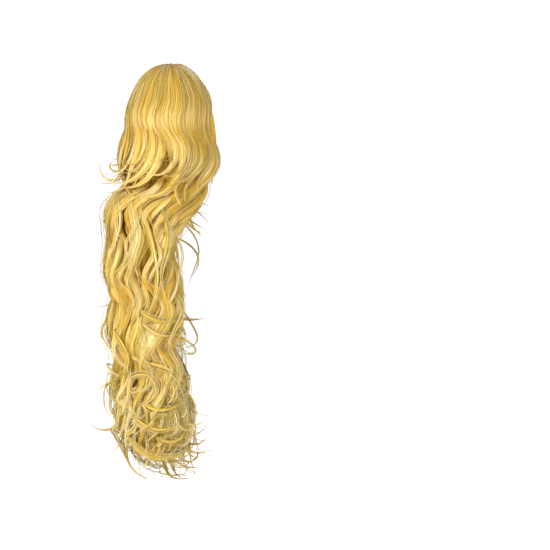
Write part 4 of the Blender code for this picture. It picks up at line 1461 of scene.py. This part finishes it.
def stage_floor(colours):
    """A wide sheet of pale paper well below the hair."""
    paper = Shader("floor_paper")
    grain = paper.node("ShaderNodeTexNoise", Scale=300.0).outputs["Fac"]
    tone = paper.mixed(grain, opaque(colours.floor), opaque(colours.floor, 0.97))
    glow = {"Emission_Color": (1, 1, 1, 1), "Emission_Strength": FLOOR_GLOW}
    mesh = bpy.data.meshes.new("floor")
    low = CAD_BOX[0].z - FLOOR_GAP
    corners = [(x * FLOOR_REACH, y * FLOOR_REACH, low) for x, y in ((-1, -1), (1, -1), (1, 1), (-1, 1))]
    mesh.from_pydata(corners, [], [(0, 1, 2, 3)])
    mesh.materials.append(paper.dressed(Base_Color=tone, Roughness=0.9, **glow))
    linked("floor", mesh)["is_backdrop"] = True


def studio_world():
    """A white surrounding that the camera sees brighter than it lights the hair."""
    world = bpy.data.worlds.new("studio")
    world.use_nodes = True
    made = Nodes(world.node_tree)
    seen = made.node("ShaderNodeLightPath").outputs["Is Camera Ray"]
    strength = made.math("MULTIPLY_ADD", seen, WHITE_STRENGTH - AMBIENT_STRENGTH, AMBIENT_STRENGTH)
    background = world.node_tree.nodes["Background"].inputs
    made.feed(background["Color"], (1, 1, 1, 1))
    made.feed(background["Strength"], strength)
    return world


def photo_camera():
    """A camera that sees the hair as the photograph does."""
    elevation = math.radians(VIEW_ELEVATION)
    right, _, level = (Vector(way) for way in camera_axes())
    back = level * math.cos(elevation) + Vector((0, 0, math.sin(elevation)))
    middle = right * (PHOTO_SIDE / 2 - ORIGIN_PIXEL[0]) * PHOTO_SCALE
    middle.z = (ORIGIN_PIXEL[1] - PHOTO_SIDE / 2) * PHOTO_SCALE
    camera = linked("camera", bpy.data.cameras.new("camera"))
    camera.data.sensor_width = SENSOR_WIDTH
    camera.data.lens = SENSOR_WIDTH * CAMERA_DISTANCE / (PHOTO_SIDE * PHOTO_SCALE)
    camera.data.clip_end = 50
    camera.location = middle + back * CAMERA_DISTANCE
    camera.rotation_euler = (-back).to_track_quat("-Z", "Y").to_euler()
    return camera


def add_light(lamp):
    """A round studio light that faces the hair, placed from the camera's side of it."""
    right, _, level = (Vector(way) for way in camera_axes())
    light = bpy.data.lights.new(lamp.name, "AREA")
    light.shape, light.size, light.energy = "DISK", lamp.size, lamp.power
    made = linked(lamp.name, light)
    made.location = level * lamp.near + right * lamp.right + Vector((0, 0, lamp.up))
    made.rotation_euler = (Vector(LIGHT_TARGET) - made.location).to_track_quat("-Z", "Y").to_euler()


class HAIRPIECE_OT_stage(bpy.types.Operator):
    """Lay the pale floor, hang the studio lights and place the camera at the photograph's angle"""

    bl_idname = "hairpiece.stage"
    bl_label = "Set stage"

    def execute(self, context):
        _, colours = settings(context)
        stage_floor(colours)
        context.scene.world = studio_world()
        context.scene.view_settings.view_transform = "Standard"
        context.scene.camera = photo_camera()
        for lamp in LAMPS:
            add_light(lamp)
        return {"FINISHED"}


STEPS = (
    HAIRPIECE_OT_stage,
    HAIRPIECE_OT_fittings,
    HAIRPIECE_OT_underlayer,
    HAIRPIECE_OT_crown,
    HAIRPIECE_OT_middle,
    HAIRPIECE_OT_long,
    HAIRPIECE_OT_curls,
    HAIRPIECE_OT_loose,
)


class HAIRPIECE_PT_panel(bpy.types.Panel):
    """The hairpiece's sizes, colours and steps"""

    bl_label = "Hairpiece"
    bl_idname = "HAIRPIECE_PT_panel"
    bl_space_type = "VIEW_3D"
    bl_region_type = "UI"
    bl_category = "Hairpiece"

    def draw(self, context):
        for group in settings(context):
            box = self.layout.box()
            for name in group.__annotations__:
                box.prop(group, name)
        for step in STEPS:
            self.layout.operator(step.bl_idname)


CLASSES = (HairpieceSizes, HairpieceColours, *STEPS, HAIRPIECE_PT_panel)


def register():
    for made in CLASSES:
        bpy.utils.register_class(made)
    bpy.types.Scene.hairpiece_sizes = PointerProperty(type=HairpieceSizes)
    bpy.types.Scene.hairpiece_colours = PointerProperty(type=HairpieceColours)


def unregister():
    del bpy.types.Scene.hairpiece_sizes
    del bpy.types.Scene.hairpiece_colours
    for made in reversed(CLASSES):
        bpy.utils.unregister_class(made)


def main():
    register()
    bpy.ops.hairpiece.stage()
    bpy.ops.hairpiece.fittings()
    bpy.ops.hairpiece.underlayer()
    bpy.ops.hairpiece.crown()
    bpy.ops.hairpiece.middle()
    bpy.ops.hairpiece.long()
    bpy.ops.hairpiece.curls()
    bpy.ops.hairpiece.loose()
    boxes = {"cad": CAD_BOX, "visual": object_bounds()}
    boxes = {name: [list(corner) for corner in box] for name, box in boxes.items()}


if __name__ == "__main__":
    main()
